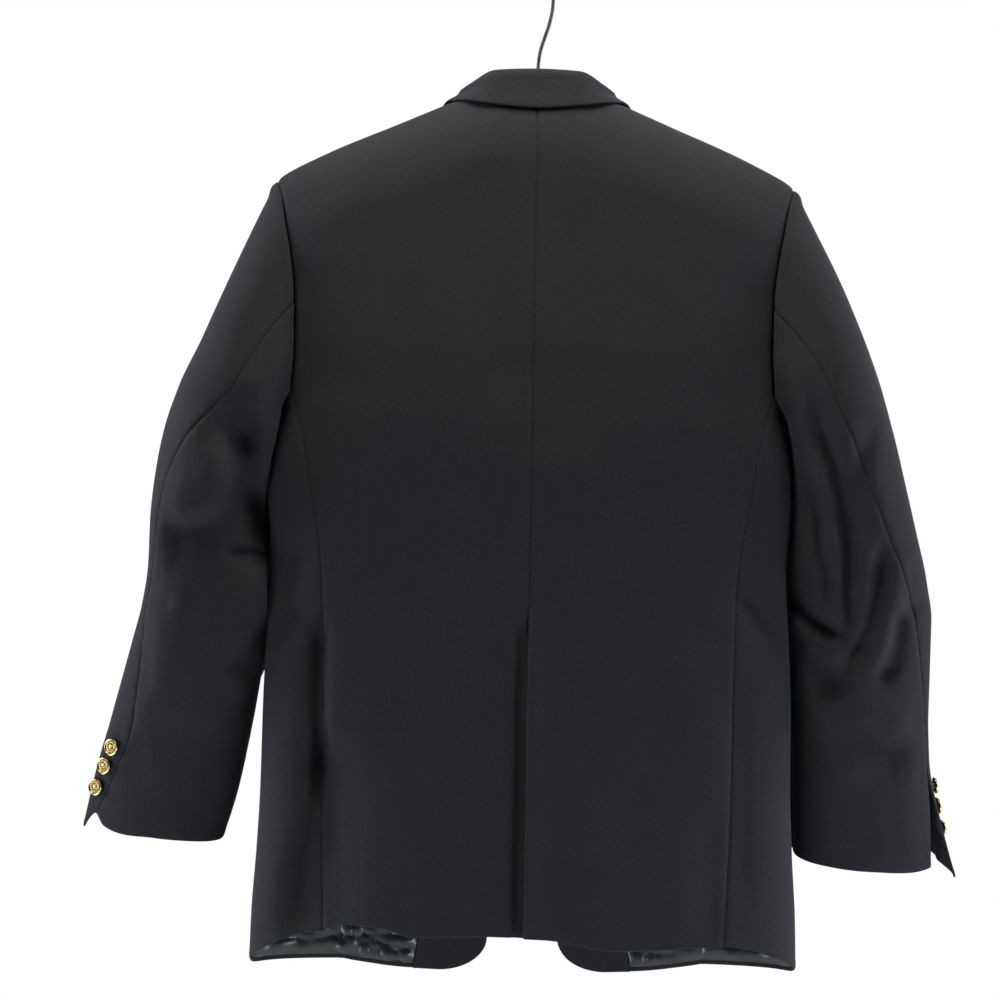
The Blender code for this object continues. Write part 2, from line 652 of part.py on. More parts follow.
def build_backs(wool, collection):
    for side, word in side_words():
        surface, rows = back_surface(side)
        columns = LEFT_BACK_COLUMNS if side == LEFT else RIGHT_BACK_COLUMNS
        points, normals = sample(surface, columns, range(rows), (100, 0, -500))
        shell(f"back_{word}", open_seams(points, top=True), normals, wool, collection, side)


def build_sides_and_fronts(wool, collection):
    """The side panels and fronts; gives each one's grid for what is sewn inside it."""
    grids = {}
    side_columns = np.interp(SIDE_ARMHOLE, (SIDE_ARMHOLE[0], SIDE_ARMHOLE[-1]), (0, 1))
    front_columns = np.linspace(0, 1, FRONT_COLUMNS + 1)
    for side, word in side_words():
        surface, rows = side_surface(side)
        points, normals = sample(surface, side_columns, range(rows), (0, 0, -500))
        shell(f"side_{word}", open_seams(points), normals, wool, collection, side)
        grids["side", side] = (points, normals)

        surface, rows = front_surface(side)
        points, normals = sample(surface, front_columns, range(rows), (100, 0, -500))
        shell(f"front_{word}", open_seams(points, top=True), normals, wool, collection, side)
        grids["front", side] = (points, normals)
    return grids


def build_insides(grids, wool, lining, collection):
    """The facing and the lining, only where they show inside the fronts' lower ends."""
    inside = -(CLOTH + LAYER_GAP)
    for side, word in side_words():
        points, normals = (g[-INSIDE_ROWS:] for g in grids["front", side])
        around, around_normals = (g[-INSIDE_ROWS:] for g in grids["side", side])

        face = slice(0, FACING_COLUMNS + 1)
        shell(f"facing_{word}", open_seams(points[:, face]), normals[:, face], wool,
              collection, side, FACING_CLOTH, inside)

        back_to = slice(-2, -2 - LINING_SIDE_COLUMNS, -1)
        cover = np.concatenate([points[:-1, FACING_COLUMNS:], around[:-1, back_to]], axis=1)
        cover_normals = np.concatenate([normals[:-1, FACING_COLUMNS:],
                                        around_normals[:-1, back_to]], axis=1)
        shell(f"lining_{word}", open_seams(cover), cover_normals, lining,
              collection, side, LINING_CLOTH, inside)


def build_lapels(wool, collection):
    columns = np.linspace(0, 1, LAPEL_COLUMNS + 1)
    for side, word in side_words():
        surface, rows = lapel_surface(side)
        points, normals = sample(surface, columns, range(rows), (60, 0, -300))
        swell = LAPEL_LIFT + LAPEL_SWELL * np.sin(np.pi * columns ** 0.7)
        points = points + normals * swell[None, :, None]
        shell(f"lapel_{word}", points, normals, wool, collection, side)


def build_collar(wool, collection):
    places = [-place for place in COLLAR_PLACES[:0:-1]] + list(COLLAR_PLACES)
    points, normals = sample(collar_surface(), np.linspace(0, 1, 6), places, (0, 0, -100))
    shell("collar", points, normals, wool, collection)


def build_sleeves(wool, collection):
    for side, word in side_words():
        for piece, columns in (("top", TOP_SLEEVE_COLUMNS), ("under", UNDER_SLEEVE_COLUMNS)):
            surface, rows = sleeve_surface(side, columns, piece == "top")
            shares = np.linspace(0, 1, len(columns))
            points, normals = sample(surface, shares, range(rows), (300, -8, -520))
            shell(f"{piece}_sleeve_{word}", open_seams(points), normals, wool,
                  collection, side)


def turned_button(diameter, height, gold):
    """The profile of a domed metal button with a rim and a shank, up +Z from its seat."""
    r, h = diameter / 2, height
    profile = ((0, h), (0.55 * r, 0.94 * h), (0.8 * r, 0.78 * h), (0.86 * r, 0.86 * h),
               (0.96 * r, 0.86 * h), (r, 0.68 * h), (0.94 * r, 0.5 * h),
               (0.35 * r, 0.44 * h), (0.3 * r, 0), (0, 0))
    mesh = bpy.data.meshes.new("button_profile")
    points = [(x * MM, 0, z * MM) for x, z in profile]
    mesh.from_pydata(points, [(i, i + 1) for i in range(len(points) - 1)], [])
    mesh.materials.append(gold)
    return mesh


def place_button(name, profile, point, normal, side, collection):
    """Turns a button's profile and seats it on the cloth, facing along the normal."""
    mirror = np.array([side, 1, 1])
    seat = hang((point + normal * SEAM_GAP) * mirror) * MM
    facing = hang((point + normal) * mirror) - hang(point * mirror)
    thing = bpy.data.objects.new(name, profile)
    thing.location = seat
    thing.rotation_mode = "QUATERNION"
    thing.rotation_quaternion = Vector(facing).to_track_quat("Z", "Y")
    collection.objects.link(thing)
    turn = thing.modifiers.new("turn", "SCREW")
    turn.axis = "Z"
    turn.steps = turn.render_steps = BUTTON_STEPS
    turn.use_merge_vertices = True
    turn.merge_threshold = 0.00001


def build_buttons(gold, collection):
    front = turned_button(FRONT_BUTTON, FRONT_BUTTON_HEIGHT, gold)
    for name, z in (("front_button_top", BUTTON_TOP_Z), ("front_button_low", BUTTON_LOW_Z)):
        place_button(name, front, body_at(0, z, FRONT), np.array([0.0, -1, 0]), LEFT,
                     collection)
    cuff = turned_button(CUFF_BUTTON, CUFF_BUTTON_HEIGHT, gold)
    for side, word in side_words():
        surface, rows = sleeve_surface(side, TOP_SLEEVE_COLUMNS, True)
        surface = faceted(surface, len(TOP_SLEEVE_COLUMNS), rows)
        for number in range(3):
            ring = CUFF_BUTTON_RING[side] + number * CUFF_BUTTON_PITCH / RING_LENGTH[side]
            seam = surface(1, ring)
            u = 1.0
            while math.dist(surface(u, ring), seam) < CUFF_BUTTON_INSET:
                u -= 0.002
            across = surface(u - 0.02, ring) - surface(u + 0.02, ring)
            down = surface(u, ring + 0.1) - surface(u, ring - 0.1)
            normal = np.cross(across, down)
            normal /= np.linalg.norm(normal)
            if np.dot(normal, surface(u, ring) - sleeve_ring(side, 180, ring)) < 0:
                normal = -normal
            place_button(f"cuff_button_{word}_{number + 1}", cuff,
                         surface(u, ring) + normal * CUFF_BUTTON_PROUD, normal, side,
                         collection)


def build_hanger(wood, collection):
    """The hanger's arms: rounded sections along the shoulder line, under the cloth."""
    stations = [-h for h in HANGER_STEPS[:0:-1]] + list(HANGER_STEPS)
    verts, faces = [], []
    for h in stations:
        depth, height = HANGER("depth", abs(h)), HANGER("height", abs(h))
        top = RIDGE("z", abs(h)) - HANGER("below", abs(h))
        for k in range(HANGER_SIDES):
            angle = 2 * math.pi * k / HANGER_SIDES
            verts.append(hang((h, depth * math.sin(angle),
                               top - height + height * math.cos(angle))) * MM)
    for i in range(len(stations) - 1):
        for k in range(HANGER_SIDES):
            a, b = i * HANGER_SIDES + k, i * HANGER_SIDES + (k + 1) % HANGER_SIDES
            faces.append((a, b, b + HANGER_SIDES, a + HANGER_SIDES))
    faces.append(tuple(range(HANGER_SIDES)))
    faces.append(tuple(len(verts) - HANGER_SIDES + k for k in range(HANGER_SIDES)))
    make_object("hanger_arms", verts, faces, wood, collection)


def build_hook(steel, collection):
    """The hook: a wire round its bowl, from its open end, and down into the hanger."""
    radius = HOOK_BOWL + WIRE / 2
    bowl = [(radius * math.cos(angle), -HOOK_BOWL + radius * math.sin(angle))
            for angle in np.radians(np.linspace(HOOK_OPEN_END, 180, 22))]
    foot = hang((0, 0, RIDGE("z", 0) - HANGER("below", 0) + SEAM_GAP))
    route = bowl + list(HOOK_NECK) + [(foot[0], foot[2])]
    curve = bpy.data.curves.new("hook", "CURVE")
    curve.dimensions = "3D"
    curve.bevel_depth = WIRE / 2 * MM
    curve.bevel_resolution = 2
    curve.use_fill_caps = True
    spline = curve.splines.new("POLY")
    spline.points.add(len(route) - 1)
    for point, (x, z) in zip(spline.points, route):
        point.co = (x * MM, 0, z * MM, 1)
    curve.materials.append(steel)
    collection.objects.link(bpy.data.objects.new("hook", curve))


def main():
    for thing in list(bpy.data.objects):
        bpy.data.objects.remove(thing, do_unlink=True)
    collection = bpy.data.collections.new("blazer_on_hanger")
    bpy.context.scene.collection.children.link(collection)
    wool = finish("wool", (0.020, 0.020, 0.026), 0.85)
    lining = finish("lining", (0.012, 0.012, 0.018), 0.35)
    gold = finish("gold", (0.75, 0.52, 0.20), 0.25, 1.0)
    wood = finish("wood", (0.30, 0.17, 0.08), 0.45)
    steel = finish("steel", (0.22, 0.22, 0.23), 0.35, 1.0)
    build_backs(wool, collection)
    grids = build_sides_and_fronts(wool, collection)
    build_insides(grids, wool, lining, collection)
    build_lapels(wool, collection)
    build_collar(wool, collection)
    build_sleeves(wool, collection)
    build_buttons(gold, collection)
    build_hanger(wood, collection)
    build_hook(steel, collection)


main()
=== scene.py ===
"""The looks of a dark wool blazer that hangs on a plain wooden hanger.

Millimetres in the tables, metres in the meshes; +Z up, the blazer's front faces -Y and the
wearer's left is +X.  The body and the sleeves are the surfaces of the CAD model, from the
same tables, on a finer grid, with the cloth's folds, seams and edges worked into them.
h is a distance across from the centre line and z a height, before the blazer is hung.
"""
import math

import bmesh
import bpy
import numpy as np
from mathutils import Matrix, Vector


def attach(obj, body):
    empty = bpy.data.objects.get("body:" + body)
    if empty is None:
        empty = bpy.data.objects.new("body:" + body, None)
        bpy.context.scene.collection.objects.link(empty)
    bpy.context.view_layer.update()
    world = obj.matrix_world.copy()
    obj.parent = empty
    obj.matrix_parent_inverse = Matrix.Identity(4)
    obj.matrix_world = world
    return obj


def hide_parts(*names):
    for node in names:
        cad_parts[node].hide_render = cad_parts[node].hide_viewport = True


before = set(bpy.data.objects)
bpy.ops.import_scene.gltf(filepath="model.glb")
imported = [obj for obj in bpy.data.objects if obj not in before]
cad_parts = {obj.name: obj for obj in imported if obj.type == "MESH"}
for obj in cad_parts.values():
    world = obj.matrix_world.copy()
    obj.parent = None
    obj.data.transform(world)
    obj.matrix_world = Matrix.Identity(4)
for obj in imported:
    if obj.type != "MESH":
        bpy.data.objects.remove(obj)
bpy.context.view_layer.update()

# ---------------------------------------------------------------- sizes (mm)
MM = 0.001

HANG_TILT = math.radians(1.0)     # the blazer hangs a little crooked
HANG_SHIFT = -8.3

SECTION_POWER = 3.3      # roundness of the body's sections
SHOULDER_ROLL = 75.0     # drop over which the shoulder rounds down to the full depth
SHOULDER_POINT = 237.5   # half of the shoulder width
NECK_HALF_WIDTH = 84.0
BACK_NECK_DROP = 57.0    # along the roll, from the shoulder line to the back neck seam

ARMHOLE_TOP = -191.0
ARMHOLE_BOTTOM = -402.0
BACK, FRONT = 1, -1
LEFT, RIGHT = 1, -1

VENT_TOP = -604.0
VENT_SLANT = 22.0        # height of the vent's slanted top
VENT_UNDERLAP = 40.0
UNDERLAP_STEP = 2.7      # how far an underlapping edge lies inside the edge over it
UNDERLAP_EASE = 25.0     # height over which it steps in
UNDERLAP_ABOVE = 27.0    # how far over the vent the left back starts to step in
FRONT_UNDERLAP = (40, 22, -430)   # the right front steps in from h 40 to 22, below z -430
FRONT_OVERLAP = 17.0     # of each front past the centre front
BUTTON_TOP_Z = -565.0
BUTTON_LOW_Z = -672.0
FRONT_BUTTON = 20.0      # diameters
CUFF_BUTTON = 15.5
CUFF_BUTTON_INSET = 12.0
CUFF_BUTTON_PITCH = 17.5
CUFF_BUTTON_RING = {LEFT: 12.46, RIGHT: 12.55}    # the sleeve ring of the first button
RING_LENGTH = {LEFT: 38.0, RIGHT: 44.0}    # of sleeve between two rings near the cuff
FRONT_BUTTON_HEIGHT = 5.0
CUFF_BUTTON_HEIGHT = 4.2
BUTTON_CLEAR = 0.3       # between a button's shank and the cloth

WIRE = 3.4               # diameter of the hook's wire
HOOK_BOWL = 19.5         # inner radius of its bowl
HOOK_OPEN_END = 6.0      # degrees from level to the bowl's open end
HOOK_CLEAR = 0.3         # between the wire's foot and the arms
HOOK_STEP = 1.5          # between two points of the wire


class Table:
    """Rows of sizes: each named column is a smooth monotone curve over the first one."""

    def __init__(self, names, *rows):
        names = names.split()
        values = np.array(sorted(rows), float)
        self.at = values[:, 0]
        step = np.diff(self.at)
        self.curves = {}
        for number, name in enumerate(names[1:], 1):
            value = values[:, number]
            slope = np.diff(value) / step
            ends = np.concatenate([[slope[0]], slope, [slope[-1]]])
            before, after = ends[:-1], ends[1:]
            same_way = before * after > 0
            total = np.where(same_way, before + after, 1.0)
            tangent = np.where(same_way, 2 * before * after / total, 0.0)
            tangent[0], tangent[-1] = slope[0], slope[-1]
            self.curves[name] = (value, tangent)

    def __call__(self, name, x):
        value, tangent = self.curves[name]
        x = np.asarray(x, float)
        held = np.clip(x, self.at[0], self.at[-1])
        i = np.clip(np.searchsorted(self.at, held, side="right") - 1, 0, len(self.at) - 2)
        width = self.at[i + 1] - self.at[i]
        t = (held - self.at[i]) / width
        t2, t3 = t * t, t * t * t
        curve = ((2 * t3 - 3 * t2 + 1) * value[i] + (t3 - 2 * t2 + t) * width * tangent[i]
                 + (3 * t2 - 2 * t3) * value[i + 1] + (t3 - t2) * width * tangent[i + 1])
        beyond = x - held
        return curve + beyond * np.where(beyond < 0, tangent[0], tangent[-1])


# Half sizes of the body's sections, from the shoulders to the hem.
BODY = Table(
    "z half_width back front",
    (-915, 251, 58, 60), (-860, 249.5, 57, 59), (-805, 246, 55, 58), (-750, 243.5, 53, 57),
    (-660, 242, 51, 56), (-600, 239, 50, 55), (-545, 236, 50, 56), (-484, 240, 52, 58),
    (-450, 238.5, 54, 60), (-425, 234, 55, 61), (-402, 229, 56, 62), (-350, 231, 56, 62),
    (-300, 234, 54, 60), (-250, 240, 52, 56), (-190, 248, 49, 51), (-120, 254, 45, 45))

# The shoulder line, from the neck to the armhole.
RIDGE = Table(
    "h z",
    (0, -95), (30, -98), (60, -107.5), (92, -121.5), (114, -131), (135, -140), (158, -149.5),
    (180, -159), (200, -168.5), (218, -177.5), (230, -184.5), (SHOULDER_POINT, ARMHOLE_TOP),
    (246, -200))

# Where the back's and the front's outer seams run: the armhole, then the side seams.
BACK_SEAM = Table(
    "z h",
    (ARMHOLE_TOP, SHOULDER_POINT), (-210, 231), (-235, 226), (-262, 221), (-295, 217.5),
    (-340, 217), (-382, 219.5), (-402, 214), (-440, 205), (-475, 199.5), (-520, 191.5),
    (-560, 188), (-625, 186.5), (-760, 185.5), (-875, 181))
FRONT_SEAM = Table(
    "z h",
    (ARMHOLE_TOP, SHOULDER_POINT), (-210, 229), (-235, 218), (-262, 208), (-295, 200.5),
    (-340, 199), (-374.7, 206), (-402, 199), (-440, 190), (-475, 184), (-520, 178), (-560, 175),
    (-625, 173), (-760, 172), (-915, 171))

# Hem heights: of the back over h to each side (the left is +), and of the side and front.
HEM_BACK = Table(
    "h z",
    (-240, -879), (-185, -880), (-150, -882), (-85, -885), (-20, -876), (33, -874), (100, -876),
    (127, -869), (161, -866), (174, -868), (185, -875), (240, -879))
HEM_FRONT = Table("h z", (78, -923.5), (112, -922), (157, -916), (171, -913.5), (240, -911))
CORNER_WIDTH = 45.0      # the rounded lower corner of each front
CORNER_HEIGHT = 31.0

# The edge of each front, by the distance w down from the shoulder line: the roll line to
# the top button, then the straight edge and the cutaway.
FRONT_EDGE = Table(
    "w h",
    (0, 84), (22, 77.5), (57, 69), (94, 61.5), (164, 49), (346, 17.5), (512, -12),
    (556, -FRONT_OVERLAP), (618, -FRONT_OVERLAP), (666, -12), (727, 0), (786, 16), (825, 29),
    (837, 33))

# Each sleeve's rings: the outer and inner ends of the ring, its half depth, the y of its
# middle, how far the back of the ring lies below its front, and the angles of its seams.
SLEEVE_COLUMNS = "ring outer_x outer_z inner_x inner_z depth y drop back_seam front_seam"
SLEEVE = {
    LEFT: Table(
        SLEEVE_COLUMNS,
        (0, 237.9, -190.6, 229.4, -402.4, 40, -3, 0, 93, 235),
        (1, 256, -228, 231.5, -404.2, 50, -3, 0, 93, 233),
        (2, 281, -283, 234, -408.5, 58, -3, 0, 93, 230),
        (3, 305, -338, 236, -416, 62, -3, 0, 92, 227),
        (4, 324, -379, 238.5, -430, 63, -3, 0, 84, 224),
        (5, 337, -418, 241, -452, 62, -3, 0, 66, 221),
        (6, 345, -460, 242.2, -482, 60, -4, 0, 48, 218),
        (7, 349.5, -503, 240.5, -517, 57, -6, 0, 38, 215),
        (8, 351, -545, 239, -553, 53, -8, 0, 32, 212),
        (9, 356, -580, 241, -590, 50, -10, 1, 30, 209),
        (10, 365, -615, 244, -630, 46, -13, 2, 40, 206),
        (11, 375, -652, 250, -672, 40, -16, 3, 48, 203),
        (12, 385, -689, 257.5, -712, 33, -19, 4, 52, 200),
        (13, 395, -727, 266.5, -752, 27, -22, 5, 43, 197),
        (14, 402, -771, 279.5, -794, 22, -24, 7, 27, 194)),
    RIGHT: Table(
        SLEEVE_COLUMNS,
        (0, 237.9, -190.6, 229.4, -402.4, 40, -3, 0, 93, 235),
        (1, 257, -227, 231.5, -404.2, 50, -3, 0, 93, 233),
        (2, 281, -274, 234, -408.5, 58, -3, 0, 93, 230),
        (3, 303, -325, 236, -416, 62, -3, 0, 92, 227),
        (4, 320, -370, 238.5, -430, 63, -3, 0, 90, 224),
        (5, 333, -415, 241, -452, 62, -3, 0, 84, 221),
        (6, 345, -462, 242.4, -484, 60, -4, 0, 76, 218),
        (7, 356, -505, 241, -518, 57, -6, 0, 66, 215),
        (8, 366, -545, 239.6, -555, 53, -8, 0, 56, 212),
        (9, 372, -585, 241.4, -592, 50, -10, 1, 48, 209),
        (10, 372, -628, 243.5, -630, 46, -13, 2, 38, 206),
        (11, 372, -670, 245, -670, 40, -16, 3, 26, 203),
        (12, 374, -712, 247, -712, 33, -19, 4, 20, 200),
        (13, 380, -755, 249, -756, 27, -22, 5, 24, 197),
        (14, 385, -800, 250.5, -801, 23, -24, 8, 30, 194)),
}
SLEEVE_POWER = 2.3
CUFF_RING = 14

# How far the inner side of each sleeve leans over the body's side, behind it and before it.
SLEEVE_LEAN = {
    LEFT: Table("ring behind before", (0, 0, 0), (1, 4, 5), (2, 9, 10), (3, 13, 14), (4, 14, 17),
                (5, 12, 20), (6, 8, 20), (7, 5, 20), (8, 7, 20), (9, 11, 19), (10, 11, 14),
                (11, 1, 2), (12, 0, 0)),
    RIGHT: Table("ring behind before", (0, 0, 0), (1, 3, 7), (2, 6, 14), (3, 8, 18), (4, 8, 20),
                 (5, 5, 20), (6, 2, 20), (7, 2, 20), (8, 2, 20), (9, 2, 20), (10, 2, 20),
                 (11, 2, 20), (12, 1, 20), (13, 0, 20), (14, 0, 18)),
}
HEAD_RINGS = 3.0         # rings over which the sleeve leaves the armhole's outline
COLUMN_RINGS = 4.0       # rings over which its columns even out
HEAD_CLEAR, HEAD_TOP_CLEAR = 0.4, 0.5      # from the armhole, and more at its top
HEAD_TUCK = (-4.0, 2.6)  # how its front edge goes in under the front, as x and y
HEAD_TUCK_RINGS = 0.45

# Half of the collar, from the centre back (place 0) round to its front end at the gorge:
# its seam on the neck, its fold, the middle and the edge of its fall, and the fold's size.
COLLAR_COLUMNS = ("place seam_h seam_y seam_z fold_h fold_y fold_z"
                  " middle_h middle_y middle_z edge_h edge_y edge_z roll")
COLLAR_ROWS = (
    (0, 0, 26.8, -116.2, 0, 29, -87.5, 0, 39, -108, 0, 43, -128, 5),
    (1, 40, 22.6, -116, 38, 23.5, -88.5, 43, 34, -107, 45, 38.5, -124, 5),
    (2, 62, 12.4, -116.5, 56, 12, -98, 66, 21, -109, 72, 26, -119.5, 5),
    (3, 77, -1, -116.4, 67, -5, -107.8, 81, -2, -112.0, 90, 2.5, -117.2, 4.5),
    (4, 73, -14, -119, 68, -20, -117, 90, -26, -126.5, 103, -24, -130, 4),
    (5, 63, -27.5, -131, 61.5, -39, -135, 92, -44.5, -149, 119, -41.5, -158, 3.6),
    (6, 62, -38, -160, 56.5, -47, -160, 97, -52.5, -172, 127.5, -45.5, -168, 3.3),
    (7, 58.5, -41.5, -178, 53, -49.5, -178, 104, -54.3, -196.6, 132, -46.5, -178, 3.0),
)

# Each lapel from the gorge down its roll line: w on that line, and the lapel's outer edge.
LAPEL = Table(
    "row roll_w edge_h edge_z",
    (0, 117.5, 144, -214.5), (1, 154, 143.5, -243), (2, 207, 135, -292), (3, 270, 118, -350),
    (4, 336, 94, -412), (5, 402, 64, -470), (6, 452, 34, -515), (7, 489, 6, -548))
LAPEL_LIFT = 3.0         # of its face off the front
LAPEL_SWELL = 1.8        # more in its middle, where it rolls
LAPEL_ROLL = 2.3         # radius of its fold
LAPEL_LEAST = 4.0        # its width where it runs out at the top button
RIGHT_LAPEL_PRESS = 0.6  # share of the underlap's step that the right lapel follows
RIGHT_LAPEL_CLEAR = 2.5  # between the right lapel and the left front's edge over it

# The hanger's arms: half depth, half height, and how far the top lies under the ridge.
HANGER = Table(
    "h depth height below",
    (0, 7, 14, 5), (40, 7.5, 13, 4.6), (84, 9, 13, 3.6), (110, 10.5, 13, 3.1), (150, 12, 13, 3.1),
    (190, 10, 12, 3.8), (212, 7.5, 9, 4.4), (219, 7, 6.5, 5), (222, 4, 3, 8))

# The hook's wire from its bowl back to the hanger, as x and z.
HOOK_NECK = ((-20.3, -30), (-17.6, -42), (-13.2, -55), (-9.4, -67), (-7.4, -80))

# Columns of the sleeve at the armhole, in degrees from its top; the panels share them.
TOP_SLEEVE_COLUMNS = (235, 256, 278, 300, 320, 338, 350, 360, 370, 382, 398, 415, 434, 453)
UNDER_SLEEVE_COLUMNS = (93, 107, 120, 132, 144.4, 155, 167.5, 180, 194, 208, 221.6, 235)
BACK_ARMHOLE = (0, 10, 22, 38, 55, 74, 93, 107, 120, 132, 144.4)
SIDE_ARMHOLE = (144.4, 155, 167.5, 180, 194, 208, 221.6)
FRONT_ARMHOLE = (360, 350, 338, 320, 300, 278, 256, 235, 221.6)
# Rows below the armhole, as a share of the way to the hem; the vent starts at one.
LOWER_ROWS = (0, 0.08, 0.16, 0.25, 0.35, 0.45, 0.5, 0.58, 0.66, 0.74, 0.81, 0.87, 0.94, 1)
# The left back's first columns follow its underlap: lines beside the centre, and the shares
# of the way across at which they lie.
UNDERLAP_LINES = (8.0, 14.0)
UNDERLAP_COLUMNS = (0.17, 0.20)


# ---------------------------------------------------------------- the cloth's folds
# A fold presses the cloth in along a line.  Each row gives its width on the line's left
# hand and on its right hand, going along it as seen from behind, its depth, which is under
# zero for a ridge, and the points of the line as x and z.
BACK_FOLDS = (
    (6, 16, 12.0, ((186, -585), (186.5, -644), (186, -709), (187, -765))),
    (34, 12, 15.0, ((187, -690), (188, -743), (192, -778), (199, -812), (203, -846),
                    (210, -885))),
    (3, 6, 4.0, ((189, -590), (190, -650), (190.5, -709), (193, -775))),
    (16, 16, 2.6, ((174, -770), (167, -820), (165, -880))),
    (30, 34, 4.2, ((53, -180), (45, -264), (30, -327), (14, -400))),
    (34, 40, 4.6, ((-36, -205), (-45, -281), (-43, -353), (-28, -440))),
    (5, 8, 3.6, ((7, -600), (7, -660), (7, -751), (7, -888))),
    (12, 20, 3.2, ((-190, -640), (-191, -700), (-195, -850))),
    (14, 18, 2.4, ((-166, -750), (-166, -885))),
    (9, 12, 4.6, ((206, -528), (217, -566), (228, -580))),
    (8, 13, 5.0, ((205, -583), (222, -606), (236, -620))),
    (7, 9, 5.5, ((-186, -560), (-208, -586), (-236, -618))),
    (40, 40, 2.4, ((205, -262), (182, -330), (176, -400))),
    (40, 40, 2.2, ((-205, -268), (-184, -340), (-178, -410))),
    (45, 45, 2.2, ((118, -520), (112, -640), (96, -760))),
    (45, 45, 2.0, ((-112, -560), (-104, -700), (-92, -820))),
    (9, 9, 1.0, ((-228, -722), (-236, -742))),
)
FRONT_FOLDS = (
    (24, 30, 3.6, ((150, -262), (128, -330), (88, -420), (44, -520))),
    (24, 30, 3.2, ((-146, -270), (-120, -350), (-84, -430), (-40, -522))),
    (14, 20, 3.0, ((30, -560), (74, -548), (122, -528))),
    (14, 20, 2.6, ((-34, -566), (-80, -550), (-130, -536))),
    (26, 34, 4.0, ((176, -620), (180, -720), (186, -905))),
    (26, 34, 3.4, ((-180, -640), (-176, -740), (-172, -905))),
    (40, 40, 2.6, ((95, -620), (100, -740), (104, -900))),
    (40, 40, 2.4, ((-92, -640), (-96, -760), (-104, -905))),
    (12, 18, 2.6, ((205, -430), (184, -452), (150, -470))),
    (12, 18, 2.2, ((-205, -436), (-176, -462), (-140, -480))),
)
SLEEVE_BACK_FOLDS = {
    LEFT: (
        (18, 22, 3.0, ((300, -320), (296, -360), (294, -392), (296, -420))),
        (9, 13, 3.0, ((246, -388), (268, -404), (286, -424), (296, -446))),
        (16, 20, 3.4, ((322, -380), (332, -430), (334, -470))),
        (40, 13, -6.5, ((340, -484), (318, -490), (288, -486), (268, -462), (258, -432))),
        (12, 44, 13.0, ((334, -510), (314, -513), (290, -509), (270, -492), (256, -468))),
        (15, 15, 22.0, ((268, -408), (263, -436), (257, -468), (250, -500), (243, -542))),
        (6, 9, 11.0, ((276, -529), (256, -534), (244, -538), (236, -544))),
        (14, 20, -4.0, ((262, -556), (246, -574), (232, -590))),
        (34, 9, 9.0, ((230, -594), (245, -611), (258, -627), (272, -645))),
        (9, 9, 3.0, ((352, -566), (338, -577), (322, -580))),
        (16, 10, -4.0, ((345, -560), (339, -613), (338, -655), (352, -690))),
        (16, 30, -4.5, ((318, -540), (314, -600), (314, -660))),
        (26, 26, 3.0, ((290, -690), (302, -740), (320, -785))),
    ),
    RIGHT: (
        (10, 7, 13.0, ((-252, -380), (-257, -410), (-266, -440), (-274, -474), (-282, -512),
                       (-286, -552), (-291, -590), (-288, -622))),
        (5, 8, -8.0, ((-258, -434), (-265, -464), (-273, -500), (-278, -536), (-281, -566))),
        (9, 12, 5.5, ((-312, -396), (-302, -424), (-295, -452), (-295, -478), (-300, -506))),
        (7, 7, 10.0, ((-254, -462), (-262, -490), (-265, -520), (-271, -548), (-272, -572))),
        (10, 6, 9.5, ((-318, -512), (-315, -548), (-309, -584), (-302, -606), (-290, -628))),
        (12, 16, -5.0, ((-336, -520), (-331, -560), (-324, -596), (-312, -622))),
        (8, 9, 18.0, ((-227, -550), (-238, -568), (-258, -585), (-284, -603))),
        (14, 10, -5.0, ((-226, -588), (-248, -598), (-270, -612), (-290, -622))),
        (10, 13, 7.0, ((-240, -596), (-256, -616), (-270, -636), (-286, -652))),
        (8, 9, 7.0, ((-336, -572), (-335, -600), (-332, -622), (-318, -642))),
        (8, 10, 6.0, ((-378, -556), (-360, -566), (-340, -576))),
        (12, 24, 7.5, ((-262, -612), (-278, -644), (-300, -680), (-328, -700), (-356, -704))),
        (20, 12, -4.0, ((-290, -636), (-308, -662), (-332, -680), (-356, -686))),
        (11, 11, -4.5, ((-300, -545), (-298, -580), (-296, -606))),
        (18, 18, 3.6, ((-332, -330), (-322, -380), (-318, -420))),
        (26, 26, 2.6, ((-296, -720), (-300, -760), (-312, -800))),
    ),
}
SLEEVE_FRONT_FOLDS = {
    LEFT: (
        (14, 20, 4.0, ((268, -380), (285, -430), (300, -470))),
        (12, 18, 6.0, ((252, -520), (285, -540), (322, -548))),
        (12, 18, 5.0, ((250, -562), (282, -572), (316, -576))),
        (16, 24, 4.0, ((262, -600), (292, -628), (330, -640))),
        (22, 26, 3.0, ((330, -400), (318, -470), (306, -520))),
        (26, 26, 2.4, ((310, -680), (330, -730), (345, -785))),
    ),
    RIGHT: (
        (14, 20, 4.0, ((-262, -390), (-282, -440), (-300, -490))),
        (12, 18, 6.0, ((-254, -540), (-290, -556), (-330, -558))),
        (12, 18, 4.6, ((-254, -584), (-290, -596), (-322, -600))),
        (16, 24, 4.0, ((-262, -622), (-296, -648), (-336, -656))),
        (22, 26, 3.0, ((-330, -410), (-322, -470), (-316, -530))),
        (26, 26, 2.4, ((-300, -700), (-312, -750), (-322, -800))),
    ),
}
# A fold fades over a share of its line at each end, from a start that isn't quite nothing,
# and reaches a little past its end.
FOLD_FADE, FOLD_END, FOLD_REACH = 0.28, 0.25, 0.15

